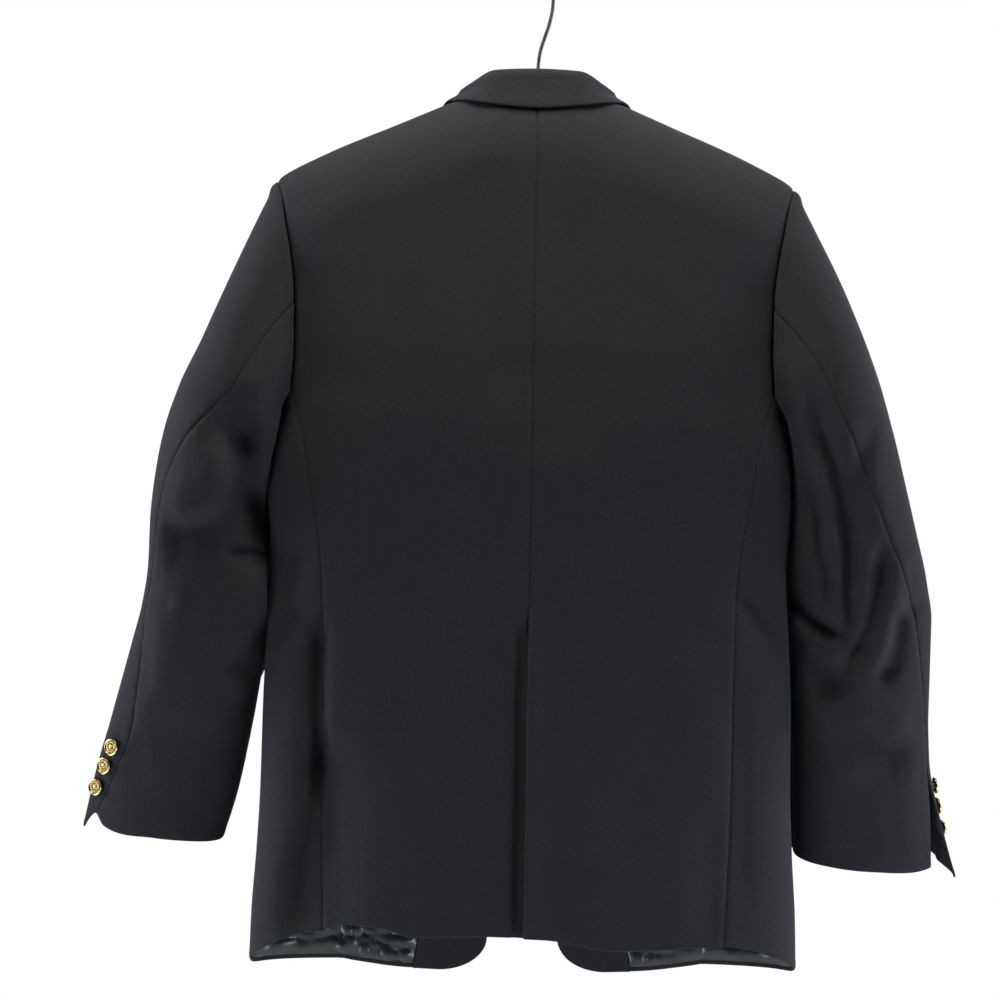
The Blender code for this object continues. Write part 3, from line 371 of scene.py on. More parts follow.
SLEEVE_HEAD_ROLL = 1.8   # how far the sleeve's head stands over the armhole seam
HEAD_ROLL_PLACE = (8, 6)     # where it is highest below the seam, and how wide it is
HEAD_ROLL_RISE = 90.0    # height over the armhole's bottom over which it grows
SEAM_DIP, SEAM_DIP_WIDTH = 1.0, 1.5
SEAM_RIDGE, SEAM_RIDGE_AT, SEAM_RIDGE_WIDTH = 0.28, 6.0, 3.0
PUCKER, PUCKER_WIDTH, PUCKER_WAVE = 0.22, 9.0, 16
EDGE_ROUND = 1.4         # how far from a turned edge it starts to round
EDGE_RIDGE, EDGE_RIDGE_AT, EDGE_RIDGE_WIDTH = 0.25, 4.5, 3.5
RIPPLE = 0.55            # of the cloth at large, and the length of its waves
RIPPLE_WAVE = 110
SMALL_RIPPLE = 0.25
VENT_LIFT = 2.6          # of the upper edge of the vent
VENT_LIFT_WIDTH = 16.0
VENT_EASE = 60.0         # height about the vent's top over which it lifts
# The corner of each cuff's flap: where it lies across the top sleeve and how wide it is, as
# shares, and how far it stands out and hangs down.
CUFF_CORNER = {LEFT: (0.86, 0.13, 8.0, 19.0), RIGHT: (1.0, 0.14, 22.0, 9.0)}
# How far each cuff's hem sags at each angle round it.
CUFF_SAG = {
    LEFT: Table("theta sag", (0, 0), (27, 2), (40, 10), (60, 12), (90, 8.5), (130, 5), (180, 3.5),
                (270, 3), (360, 0)),
    RIGHT: Table("theta sag", (0, 6), (28, 9), (57, 11), (90, 9), (130, 5), (180, 2), (270, 2),
                 (360, 6)),
}
CUFF_SAG_RINGS = 3
CUFF_VENT_RING = 12.0
COLLAR_FOLD_DEPTH = 0.7  # of the fold's two sides from its middle, as a share of its size
COLLAR_PRESS = 2.6       # of the fall's edge towards the back
COLLAR_RAISE = 3.6       # of the fall's edge
COLLAR_DRAW = 0.09       # of the fall's sides towards the neck, as a share
GRID = 4.0               # spacing of the fine grid
SLEEVE_GRID = 3.0
EDGE_GRID = (0.35, 0.8, 1.4, 2.4)     # the lines next to an edge


def together(*parts):
    """Points from their x, y and z."""
    return np.stack(np.broadcast_arrays(*parts), axis=-1)


def rounded(angle, power):
    """The cosine and the sine of each angle, for an ellipse with fuller corners."""
    return (np.sign(part) * np.abs(part) ** (2 / power) for part in (np.cos(angle), np.sin(angle)))


def smooth_step(t):
    t = np.clip(t, 0.0, 1.0)
    return t * t * (3 - 2 * t)


def bell(t, at, width):
    return np.exp(-((t - at) / width) ** 2)


def between(t, start, end):
    """0 before start, 1 past end, and smooth from one to the other."""
    return smooth_step((t - start) / (end - start))


def hang(points):
    """Points of the straight garment, turned and shifted to how it hangs on its hook."""
    c, s = math.cos(HANG_TILT), math.sin(HANG_TILT)
    x, y, z = np.moveaxis(np.asarray(points, float), -1, 0)
    return np.stack([x * c - z * s + HANG_SHIFT, y, z * c + x * s], axis=-1)


def ripple(x, z, seed, wave, rounds=5):
    """A smooth uneven wave over the cloth, about -1 to 1, with no repeat that shows."""
    random = np.random.default_rng(seed)
    total = np.zeros(np.broadcast(x, z).shape)
    for _ in range(rounds):
        turn, phase = random.uniform(0, 2 * math.pi, 2)
        length = wave * random.uniform(0.6, 1.7)
        k = 2 * math.pi / length
        total = total + np.sin(k * (x * math.cos(turn) + z * math.sin(turn)) + phase)
    return total / math.sqrt(rounds) / 1.4


def pressed(folds, x, z):
    """How far the folds press the cloth in at each place."""
    depth = np.zeros(np.broadcast(x, z).shape)
    for left_hand, right_hand, deep, line in folds:
        line = np.array(line, float)
        runs = np.linalg.norm(np.diff(line, axis=0), axis=1)
        total, done = runs.sum(), 0.0
        nearest = np.full(depth.shape, 1e9)
        share = np.zeros(depth.shape)
        hand = np.zeros(depth.shape)
        for start, step, run in zip(line[:-1], np.diff(line, axis=0), runs):
            along = np.clip(((x - start[0]) * step[0] + (z - start[1]) * step[1]) / run ** 2,
                            -FOLD_REACH if done == 0 else 0.0, 1 + FOLD_REACH)
            off_x, off_z = x - start[0] - along * step[0], z - start[1] - along * step[1]
            away = np.hypot(off_x, off_z)
            closer = away < nearest
            nearest = np.where(closer, away, nearest)
            share = np.where(closer, (done + along * run) / total, share)
            hand = np.where(closer, off_x * step[1] - off_z * step[0], hand)
            done += run
        width = np.where(hand > 0, left_hand, right_hand)
        ends = smooth_step(share / FOLD_FADE + FOLD_END) \
            * smooth_step((1 - share) / FOLD_FADE + FOLD_END)
        depth += deep * ends * bell(nearest, 0, width)
    return depth


# ---------------------------------------------------------------- the body's surface
def body_from_roll(h, w, side):
    quarter = SHOULDER_ROLL * math.pi / 2
    angle = np.clip(w / SHOULDER_ROLL, None, math.pi / 2)
    drop = SHOULDER_ROLL * (1 - np.cos(angle)) + np.maximum(w - quarter, 0)
    z = RIDGE("z", np.abs(h)) - drop
    depth = BODY("back" if side == BACK else "front", z)
    across = np.clip(np.abs(h) / BODY("half_width", z), 0, 1)
    y = side * np.sin(angle) * depth * (1 - across ** SECTION_POWER) ** (1 / SECTION_POWER)
    return together(h, y, z)


def roll_length(h, z):
    drop = np.maximum(RIDGE("z", np.abs(h)) - z, 0.0)
    rolled = SHOULDER_ROLL * np.arccos(np.clip(1 - drop / SHOULDER_ROLL, -1, 1))
    return np.where(drop < SHOULDER_ROLL, rolled,
                    drop - SHOULDER_ROLL + SHOULDER_ROLL * math.pi / 2)


def body_at(h, z, side):
    return body_from_roll(h, roll_length(h, z), side)


def body_around(z, u):
    """The points a share u of the way round the side, from the back seam to the front's."""
    z, u = np.broadcast_arrays(np.asarray(z, float), u)
    angle = np.linspace(math.pi / 2, -math.pi / 2, 361)
    cosine, sine = rounded(angle, SECTION_POWER)
    middle = len(angle) // 2
    points = np.zeros((z.size, 3))
    for n, (height, part) in enumerate(zip(z.ravel(), u.ravel())):
        across = BODY("half_width", height) * cosine
        y = np.where(angle > 0, BODY("back", height), BODY("front", height)) * sine
        length = np.concatenate([[0], np.cumsum(np.hypot(np.diff(across), np.diff(y)))])
        start = np.interp(BACK_SEAM("h", height), across[:middle + 1], length[:middle + 1])
        end = np.interp(-FRONT_SEAM("h", height), -across[middle:], length[middle:])
        place = start + (end - start) * part
        points[n] = np.interp(place, length, across), np.interp(place, length, y), height
    return points.reshape(z.shape + (3,))


def armhole_height(theta):
    middle = (ARMHOLE_TOP + ARMHOLE_BOTTOM) / 2
    return middle + (ARMHOLE_TOP - middle) * np.cos(np.radians(theta))


def armhole_curve():
    """The armhole's seam all round, at every degree from its top."""
    theta = np.arange(361.0)
    z = armhole_height(theta)
    back = body_at(BACK_SEAM("h", z), z, BACK)
    front = body_at(FRONT_SEAM("h", z), z, FRONT)
    share = (theta - SIDE_ARMHOLE[0]) / (SIDE_ARMHOLE[-1] - SIDE_ARMHOLE[0])
    side = body_around(z, np.clip(share, 0, 1))
    return np.where((theta <= SIDE_ARMHOLE[0])[:, None], back,
                    np.where((theta >= SIDE_ARMHOLE[-1])[:, None], front, side))


ARMHOLE = armhole_curve()


def armhole(theta):
    theta = np.mod(theta, 360)
    return np.stack([np.interp(theta, np.arange(361.0), ARMHOLE[:, k]) for k in range(3)], -1)


# ---------------------------------------------------------------- panels as surfaces
def seam_rows(armhole_columns, corner_z, hem_z):
    upper = [float(armhole_height(theta)) for theta in armhole_columns[:-1]]
    return upper + [corner_z + (hem_z - corner_z) * share for share in LOWER_ROWS]


# The heights of each seam beside the side panel, at the armhole and at the hem.
BACK_CORNER_Z = float(armhole_height(BACK_ARMHOLE[-1]))
FRONT_CORNER_Z = float(armhole_height(FRONT_ARMHOLE[-1]))
FRONT_CORNER_HEM = float(HEM_FRONT("z", FRONT_SEAM("h", FRONT_SEAM.at[0])))


def back_corner_hem(side):
    return float(HEM_BACK("z", side * BACK_SEAM("h", BACK_SEAM.at[0])))


def underlap_step(h, z, flat, full, top):
    across = smooth_step((flat - h) / (flat - full))
    return UNDERLAP_STEP * across * smooth_step((top - z) / UNDERLAP_EASE)


def fold_back(points, side, amount=1.0):
    """Works the back's folds, and its slight unevenness, into points of the body."""
    x, z = points[..., 0] * side, points[..., 2]
    points[..., 1] -= amount * (pressed(BACK_FOLDS, x, z) + RIPPLE * ripple(x, z, 3, RIPPLE_WAVE)
                                + SMALL_RIPPLE * ripple(x, z, 4, 42))


def fold_front(points, side, amount=1.0):
    x, z = points[..., 0] * side, points[..., 2]
    points[..., 1] += amount * (pressed(FRONT_FOLDS, x, z)
                                + RIPPLE * ripple(x, z, 5, RIPPLE_WAVE))


def back_surface(side):
    hem_z = back_corner_hem(side)
    rows = seam_rows(BACK_ARMHOLE, BACK_CORNER_Z, hem_z)
    row_z = Table("row z", *enumerate(rows))
    (line, next_line), (near, far) = UNDERLAP_LINES, UNDERLAP_COLUMNS

    def surface(u, row):
        z = row_z("z", row)
        seam = BACK_SEAM("h", z)
        share = roll_length(seam, z) / roll_length(seam, HEM_BACK("z", side * seam))
        h = seam * u
        if side == LEFT:
            inner = -VENT_UNDERLAP * smooth_step((VENT_TOP - z) / VENT_SLANT)
            first = inner + (line - inner) * u / near
            second = line + (next_line - line) * (u - near) / (far - near)
            third = next_line + (seam - next_line) * (u - far) / (1 - far)
            h = np.where(u < near, first, np.where(u < far, second, third))
        neck = np.maximum(1 - (h / NECK_HALF_WIDTH) ** 2, 0.0)
        top = BACK_NECK_DROP * neck ** 0.6
        hem = roll_length(h, HEM_BACK("z", side * h))
        points = body_from_roll(h, top + (hem - top) * share, BACK)
        fold_back(points, side)
        if side == LEFT:
            points[..., 1] -= underlap_step(h, points[..., 2], next_line, line,
                                            VENT_TOP + UNDERLAP_ABOVE)
        else:
            in_vent = smooth_step((VENT_TOP - points[..., 2]) / VENT_EASE + 0.5)
            points[..., 1] += VENT_LIFT * in_vent * np.exp(-(h / VENT_LIFT_WIDTH) ** 2)
        return points

    return surface, len(rows)


def side_surface(side):
    back_hem, side_hem = back_corner_hem(side), FRONT_CORNER_HEM
    row_share = Table("row share", *enumerate(LOWER_ROWS))

    def surface(u, row):
        share = row_share("share", row)
        theta = SIDE_ARMHOLE[0] + (SIDE_ARMHOLE[-1] - SIDE_ARMHOLE[0]) * u
        top = armhole_height(theta)
        straight = BACK_CORNER_Z + (FRONT_CORNER_Z - BACK_CORNER_Z) * u
        hem = back_hem + (side_hem - back_hem) * smooth_step(u * 1.6)
        z = straight + (hem - straight) * share + (top - straight) * (1 - share) ** 3
        points = body_around(z, u)
        y = points[..., 1].copy()
        fold_back(points, side, smooth_step(y / (0.75 * BODY("back", z))))
        fold_front(points, side, smooth_step(-y / (0.75 * BODY("front", z))))
        return points

    return surface, len(LOWER_ROWS)


def front_hem(h):
    corner = np.clip((HEM_FRONT.at[0] - h) / CORNER_WIDTH, 0.0, 1.0)
    return HEM_FRONT("z", np.maximum(h, HEM_FRONT.at[0])) \
        + CORNER_HEIGHT * (1 - np.sqrt(1 - corner ** 2))


def front_surface(side):
    rows = seam_rows(FRONT_ARMHOLE, FRONT_CORNER_Z, FRONT_CORNER_HEM)
    row_z = Table("row z", *enumerate(rows))

    def surface(u, row):
        z = row_z("z", row)
        seam = FRONT_SEAM("h", z)
        share = roll_length(seam, z) / roll_length(seam, front_hem(seam))
        edge = FRONT_EDGE("h", share * FRONT_EDGE.at[-1])
        h = edge + (seam - edge) * u
        points = body_from_roll(h, roll_length(h, front_hem(h)) * share, FRONT)
        fold_front(points, side)
        if side == RIGHT:
            points[..., 1] += underlap_step(h, points[..., 2], *FRONT_UNDERLAP)
        return points

    return surface, len(rows)


def lapel_surface(side):
    def surface(u, row):
        roll_w = LAPEL("roll_w", row)
        roll_h = FRONT_EDGE("h", roll_w)
        roll_z = body_from_roll(roll_h, roll_w, FRONT)[..., 2]
        if side == RIGHT:
            roll_h = np.maximum(roll_h, RIGHT_LAPEL_CLEAR - roll_h)
        edge_h = np.maximum(LAPEL("edge_h", row), roll_h + LAPEL_LEAST)
        h = roll_h + (edge_h - roll_h) * u
        z = roll_z + (LAPEL("edge_z", row) - roll_z) * u
        points = body_at(h, z, FRONT)
        fold_front(points, side)
        if side == RIGHT:
            points[..., 1] += RIGHT_LAPEL_PRESS * underlap_step(h, z, *FRONT_UNDERLAP)
        return points

    return surface, len(LAPEL.at)


def collar_surface():
    mirrored = []
    for place, *numbers in COLLAR_ROWS[1:]:
        numbers[0:12:3] = [-h for h in numbers[0:12:3]]
        mirrored.append((-place, *numbers))
    table = Table(COLLAR_COLUMNS, *mirrored, *COLLAR_ROWS)

    def corner(name, place):
        return np.stack([table(f"{name}_{axis}", place) for axis in "hyz"], -1)

    def unit(v):
        return v / np.linalg.norm(v, axis=-1, keepdims=True)

    def surface(u, place):
        u, place = np.broadcast_arrays(u, place)
        seam, fold, middle, edge = (corner(n, place) for n in ("seam", "fold", "middle", "edge"))
        roll = table("roll", place)[..., None]
        up_stand, down_fall = unit(seam - fold), unit(middle - fold)
        along = unit(up_stand + down_fall)
        apart = (middle - seam) - np.sum((middle - seam) * along, -1, keepdims=True) * along
        apart = unit(apart) * COLLAR_FOLD_DEPTH * roll
        stand, fall = fold + up_stand * roll - apart, fold + down_fall * roll + apart
        stations = [seam, (seam + stand) / 2, stand, fold, fall, (fall + middle) / 2, middle,
                    edge]
        stations = [2 * stations[0] - stations[1], *stations, 2 * stations[-1] - stations[-2]]
        return spline(np.stack(stations, 0), u)

    return surface


def spline(stations, u):
    """The smooth curve through all stations but the first and the last, for u from 0 to 1."""
    last = len(stations) - 4
    i = np.minimum((u * (last + 1)).astype(int), last)
    t = (u * (last + 1) - i)[..., None]
    a, b, c, d = (np.take_along_axis(stations, (i + k)[None, ..., None], 0)[0]
                  for k in range(4))
    return 0.5 * ((2 * b) + (c - a) * t + (2 * a - 5 * b + 4 * c - d) * t ** 2
                  + (3 * b - a - 3 * c + d) * t ** 3)


# ---------------------------------------------------------------- sleeves
def sleeve_ring(side, theta, ring):
    table = SLEEVE[side]
    outer = together(table("outer_x", ring), 0.0, table("outer_z", ring))
    inner = together(table("inner_x", ring), 0.0, table("inner_z", ring))
    across = together(0.0, table("depth", ring), -table("drop", ring))
    c, s = rounded(np.radians(theta), SLEEVE_POWER)
    middle = (outer + inner) / 2
    middle[..., 1] += table("y", ring)
    return middle + (outer - inner) / 2 * c[..., None] + across * s[..., None]


def sleeve_lean(side, theta, ring):
    theta = np.mod(theta, 360)
    behind = between(theta, 90, 125) * between(theta, 170, 142)
    before = between(theta, 190, 218) * between(theta, 270, 235)
    lean = SLEEVE_LEAN[side]
    return sum(np.maximum(lean(name, ring), 0) * share
               for name, share in (("behind", behind), ("before", before)))


def sleeve_surface(side, columns, top_piece):
    table = SLEEVE[side]

    def surface(u, row):
        at_head = np.interp(u * (len(columns) - 1), range(len(columns)), columns)
        back, front = table("back_seam", row), table("front_seam", row)
        start, end = (front, back + 360) if top_piece else (back, front)
        evenly = start + (end - start) * u
        theta = at_head + (evenly - at_head) * smooth_step(row / COLUMN_RINGS)
        points = sleeve_ring(side, theta, row)
        head = (1 - smooth_step(row / HEAD_RINGS))[..., None]
        seam = armhole(theta)
        at_top = np.maximum(np.cos(np.radians(theta)), 0) ** 4
        seam[..., 0] += HEAD_CLEAR + HEAD_TOP_CLEAR * at_top
        points = points + head * (seam - sleeve_ring(side, theta, 0 * row))
        points[..., 0] -= sleeve_lean(side, theta, row)
        sine = np.sin(np.radians(theta))
        under_front = smooth_step(-sine / 0.25) * smooth_step(1 - row / HEAD_TUCK_RINGS)
        points[..., :2] += under_front[..., None] * HEAD_TUCK
        x, z = points[..., 0] * side, points[..., 2]
        wave = RIPPLE * ripple(x, z, 7 + side, 70) + 0.3 * ripple(x, z, 9 + side, 30)
        for folds, to_front in ((SLEEVE_BACK_FOLDS, -1), (SLEEVE_FRONT_FOLDS, 1)):
            facing = smooth_step(-to_front * sine / 0.45) ** 0.7 * smooth_step(row / 1.2)
            points[..., 1] += to_front * facing * (pressed(folds[side], x, z) + wave)
        low = smooth_step((row - CUFF_RING + CUFF_SAG_RINGS) / CUFF_SAG_RINGS)
        points[..., 2] -= low * CUFF_SAG[side]("sag", np.mod(theta, 360))
        if top_piece:
            in_vent = np.clip((row - CUFF_VENT_RING) / (CUFF_RING - CUFF_VENT_RING), 0, 1)
            place, wide, out, down = CUFF_CORNER[side]
            near = smooth_step(1 - np.abs(u - place) / wide)
            points[..., 0] += out * in_vent ** 1.6 * near
            points[..., 2] -= down * in_vent ** 2 * near
        return points

    return surface, CUFF_RING + 1


# ---------------------------------------------------------------- materials
class Nodes:
    """A material's node tree, built a node at a time."""

    def __init__(self, name):
        self.material = bpy.data.materials.new(name)
        self.material.use_nodes = True
        self.tree = self.material.node_tree
        self.shader = self.tree.nodes["Principled BSDF"]

    def add(self, kind, inputs=None, **settings):
        node = self.tree.nodes.new(kind)
        for key, value in settings.items():
            setattr(node, key, value)
        for key, value in (inputs or {}).items():
            if isinstance(value, bpy.types.NodeSocket):
                self.tree.links.new(value, node.inputs[key])
            else:
                node.inputs[key].default_value = value
        return node

    def set(self, **values):
        for key, value in values.items():
            socket = self.shader.inputs[key.replace("_", " ")]
            if isinstance(value, bpy.types.NodeSocket):
                self.tree.links.new(value, socket)
            else:
                socket.default_value = value

    def math(self, operation, *values):
        return self.add("ShaderNodeMath", dict(enumerate(values)), operation=operation).outputs[0]

    def total(self, *parts):
        """The sum of values, each times its share."""
        scaled = [self.math("MULTIPLY", value, share) for value, share in parts]
        result = scaled[0]
        for part in scaled[1:]:
            result = self.math("ADD", result, part)
        return result

    def place(self):
        return self.add("ShaderNodeTexCoord").outputs["Object"]

    def stretched(self, at, scale, turn=0.0):
        return self.add("ShaderNodeMapping", {"Vector": at, "Scale": scale,
                                              "Rotation": (0, 0, turn)}).outputs[0]

    def noise(self, at, scale, detail, **more):
        inputs = {"Vector": at, "Scale": scale, "Detail": detail, **more}
        return self.add("ShaderNodeTexNoise", inputs).outputs["Fac"]

    def bands(self, at, scale, distortion, detail, detail_scale, direction):
        inputs = {"Vector": at, "Scale": scale, "Distortion": distortion, "Detail": detail,
                  "Detail Scale": detail_scale}
        return self.add("ShaderNodeTexWave", inputs, bands_direction=direction).outputs["Fac"]

    def ramp(self, fac, *stops):
        node = self.add("ShaderNodeValToRGB", {"Fac": fac})
        ramp = node.color_ramp
        while len(ramp.elements) < len(stops):
            ramp.elements.new(0.5)
        for element, (place, colour) in zip(ramp.elements, stops):
            element.position = place
            element.color = (*colour, 1.0)
        return node.outputs["Color"]

    def bump(self, height, strength, distance):
        inputs = {"Height": height, "Strength": strength, "Distance": distance}
        return self.add("ShaderNodeBump", inputs).outputs["Normal"]


def woven(name, dark, light, pitch, depth, roughness, sheen, sheen_tint, specular):
    """A cloth: diagonal twill ribs over crossing threads, with soft unevenness."""
    n = Nodes(name)
    at = n.add("ShaderNodeUVMap", uv_map="cloth").outputs["UV"]
    ribs = n.noise(n.stretched(at, (1.0, 0.16, 1.0), math.radians(58)), 1.0 / pitch, 1.5)
    threads = n.bands(at, 0.314 / (0.62 * pitch), 3.0, 2.0, 3.0, "Y")
    fuzz = n.noise(at, 0.8 / pitch, 4.0, Roughness=0.8)
    broad = n.noise(at, 22.0, 3.0, Roughness=0.6)
    weave = n.total((ribs, 0.85), (threads, 0.15))
    mixed = n.total((weave, 0.50), (fuzz, 0.44), (broad, 0.06))
    n.set(Base_Color=n.ramp(mixed, (0.36, dark), (0.64, light)),
          Roughness=roughness, Sheen_Weight=sheen, Sheen_Roughness=0.45,
          Sheen_Tint=(*sheen_tint, 1.0), Specular_IOR_Level=specular,
          Normal=n.bump(n.math("ADD", weave, fuzz), 0.5, depth))
    return n.material


def wool():
    return woven("wool", (0.0125, 0.0127, 0.0162), (0.0275, 0.0278, 0.0340), 0.0007, 0.00022,
                 0.86, 0.05, (0.66, 0.66, 0.72), 0.16)


def satin():
    return woven("lining", (0.013, 0.0155, 0.0165), (0.027, 0.031, 0.033), 0.0005, 0.00006,
                 0.30, 0.05, (0.7, 0.7, 0.76), 0.42)


def gold():
    n = Nodes("gold")
    ground = n.add("ShaderNodeAttribute", attribute_name="ground").outputs["Fac"]
    wear = n.noise(n.place(), 900.0, 5.0)
    dull = n.total((ground, 0.85), (wear, 0.3))
    n.set(Base_Color=n.ramp(dull, (0.12, (0.58, 0.455, 0.21)), (0.5, (0.32, 0.23, 0.085)),
                            (0.95, (0.06, 0.037, 0.014))),
          Metallic=1.0, Roughness=n.math("MULTIPLY_ADD", dull, 0.35, 0.22),
          Normal=n.bump(wear, 0.12, 0.0001))
    return n.material


def steel():
    n = Nodes("steel")
    marks = n.noise(n.stretched(n.place(), (1.0, 1.0, 0.08)), 1400.0, 3.0)
    n.set(Base_Color=n.ramp(marks, (0.3, (0.09, 0.09, 0.094)), (0.7, (0.16, 0.16, 0.167))),
          Metallic=1.0, Roughness=n.math("MULTIPLY_ADD", marks, 0.3, 0.2),
          Normal=n.bump(marks, 0.1, 0.0001))
    return n.material


def wood():
    n = Nodes("wood")
    at = n.place()
    rings = n.bands(n.stretched(at, (2.2, 26.0, 26.0)), 1.1, 7.0, 3.0, 1.4, "Z")
    pores = n.noise(n.stretched(at, (18.0, 700.0, 700.0)), 1.0, 5.0)
    mixed = n.total((rings, 0.55), (pores, 0.45))
    n.set(Base_Color=n.ramp(mixed, (0.25, (0.16, 0.075, 0.03)), (0.6, (0.32, 0.17, 0.075)),
                            (0.85, (0.45, 0.27, 0.13))),
          Roughness=n.math("MULTIPLY_ADD", pores, 0.25, 0.28),
          Coat_Weight=0.35, Coat_Roughness=0.2, Normal=n.bump(pores, 0.2, 0.0002))
    return n.material


WOOL, LINING, GOLD, STEEL, WOOD = wool(), satin(), gold(), steel(), wood()
BOTH = (WOOL, LINING)
TURN_UP = 36.0           # of wool inside each hem, before the lining starts
SIDES = ((LEFT, "left"), (RIGHT, "right"))
made = {}                # each piece by the node that it stands for


# ---------------------------------------------------------------- meshes
def put(name, data):
    thing = bpy.data.objects.new(name, data)
    bpy.context.scene.collection.objects.link(thing)
    return thing


def clean(mesh, merge=False):
    """Turns the faces outwards; merge first joins the points that lie in one place."""
    body = bmesh.new()
    body.from_mesh(mesh)
    if merge:
        bmesh.ops.remove_doubles(body, verts=body.verts, dist=1e-6)
    bmesh.ops.recalc_face_normals(body, faces=body.faces)
    body.to_mesh(mesh)
    body.free()


def new_object(name, verts, faces, materials, slots=None, uv=None):
    mesh = bpy.data.meshes.new(name)
    mesh.from_pydata([tuple(v) for v in verts], [], faces)
    for material in materials:
        mesh.materials.append(material)
    if slots is not None:
        mesh.polygons.foreach_set("material_index", np.asarray(slots, np.int32))
    mesh.shade_smooth()
    if uv is not None:
        layer = mesh.uv_layers.new(name="cloth")
        index = np.zeros(len(mesh.loops), np.int32)
        mesh.loops.foreach_get("vertex_index", index)
        layer.data.foreach_set("uv", np.asarray(uv, np.float32)[index].ravel())
    clean(mesh)
    return put(name, mesh)


def fine(count, length, step=GRID):
    """Places from 0 to count over a length, a grid step apart and closer at both ends."""
    even = np.linspace(0, count, max(int(round(length / step)), 2) + 1)
    near = np.array(EDGE_GRID) * count / length
    return np.unique(np.round(np.concatenate([even, near, count - near]), 6))


def grid_normals(points, centre):
    normals = np.cross(np.gradient(points, axis=1), np.gradient(points, axis=0))
    normals /= np.maximum(np.linalg.norm(normals, axis=-1, keepdims=True), 1e-9)
    i, j = points.shape[0] // 2, points.shape[1] // 2
    if np.dot(normals[i, j], points[i, j] - np.asarray(centre, float)) < 0:
        normals = -normals
    return normals


def distances(points):
    """How far each point of a grid lies from its left, right, top and bottom edges."""
    across = np.linalg.norm(np.diff(points, axis=1), axis=-1)
    down = np.linalg.norm(np.diff(points, axis=0), axis=-1)
    left = np.concatenate([np.zeros((len(points), 1)), np.cumsum(across, axis=1)], axis=1)
    top = np.concatenate([np.zeros((1, points.shape[1])), np.cumsum(down, axis=0)], axis=0)
    return left, left[:, -1:] - left, top, top[-1:] - top


def cloth(node, points, centre, edges, side=LEFT, materials=BOTH, wall=2.0, lift=0.0,
          vent=0.0):
    """A thin wall of cloth on a grid of points, which stands for a node of the frame. edges
    gives the kind of its left, right, top and bottom edges: a seam dips, a turned edge is
    round, a vent turns from one into the other by the shares in vent, and a plain edge is
    neither. The inside of a piece with both materials is wool up to the turn-up."""
    name = f"cloth_{node}"
    rows, columns = points.shape[:2]
    normals = grid_normals(points, centre)
    reach = distances(points)
    out = np.zeros((rows, columns)) + lift
    thin = np.zeros((rows, columns))
    along = (reach[2], reach[2], reach[0], reach[0])
    for kind, away, other in zip(edges.split(), reach, along):
        sewn = {"seam": 1.0, "vent": 1 - vent}.get(kind, 0.0)
        turned = {"turned": 1.0, "vent": vent}.get(kind, 0.0)
        uneven = ripple(other, 0 * other, len(name) + 11, PUCKER_WAVE, 4)
        out += sewn * (-SEAM_DIP * bell(away, 0, SEAM_DIP_WIDTH)
                       + SEAM_RIDGE * bell(away, SEAM_RIDGE_AT, SEAM_RIDGE_WIDTH)
                       + PUCKER * uneven * bell(away, 0, PUCKER_WIDTH))
        near = np.clip(1 - away / EDGE_ROUND, 0, 1)
        thin = np.maximum(thin, turned * (1 - np.sqrt(1 - near ** 2)))
        out += turned * EDGE_RIDGE * bell(away, EDGE_RIDGE_AT, EDGE_RIDGE_WIDTH)
    outer = points + normals * (out - thin * wall * 0.5)[..., None]
    inner = points + normals * (np.minimum(out, lift) - wall + thin * wall * 0.5)[..., None]
    mirror = np.array([side, 1, 1])
    verts = hang(np.concatenate([outer.reshape(-1, 3), inner.reshape(-1, 3)]) * mirror) * MM
    number = np.arange(rows * columns).reshape(rows, columns)
    quads = np.stack([number[:-1, :-1].ravel(), number[:-1, 1:].ravel(),
                      number[1:, 1:].ravel(), number[1:, :-1].ravel()], 1)
    total = rows * columns
    ring = np.concatenate([number[0, :], number[1:, -1], number[-1, -2::-1],
                           number[-2:0:-1, 0]])
    after = np.roll(ring, -1)
    rim = np.stack([ring, ring + total, after + total, after], 1)
    faces = np.concatenate([quads, quads[:, ::-1] + total, rim])
    slots = np.zeros(len(faces), int)
    if materials == BOTH:
        slots[len(quads):2 * len(quads)] = reach[3][:-1, :-1].ravel() > TURN_UP
    uv = np.stack([reach[0] - reach[1].max() / 2, -reach[2]], -1).reshape(-1, 2) * MM
    made[node] = new_object(name, verts, faces.tolist(), materials, slots,
                            np.tile(uv, (2, 1)))


def grid(surface, us, rows):
    return surface(np.asarray(us)[None, :], np.asarray(rows, float)[:, None])


# ---------------------------------------------------------------- the body's cloth
# Places inside the pieces, which tell their outer side.
BODY_CENTRE = (100, 0, -500)
SIDE_CENTRE = (0, 0, -500)
LINING_CENTRE = (0, 0, -880)
LAPEL_CENTRE = (60, 0, -300)
SLEEVE_CENTRE = (300, -8, -520)
INSIDE = -2.4            # how far the facings and the lining lie inside the fronts
LOW_ROWS = 3             # of the fronts' last rows, beside which both lie
LINING_ROWS = 2.86       # of them, down to which the lining goes
FACING_SHARE = 0.5       # of the front's width
LINING_SIDE_SHARE = 0.54     # of the side panel's width, past the whole rest of the front
# The lining stands in by its crumple and by waves: the height of each, how far it is
# squeezed in z, its length, and whether it is folded sharp.
CRUMPLE, CRUMPLE_MOST = 1.4, 9.0
CRUMPLE_EASE = 9.0       # distance from its sewn edges over which it starts
CRUMPLE_WAVES = ((2.8, 0.4, 17, True), (2.4, 1.6, 26, True), (1.0, 1, 11, False),
                 (1.6, 0.7, 40, True))


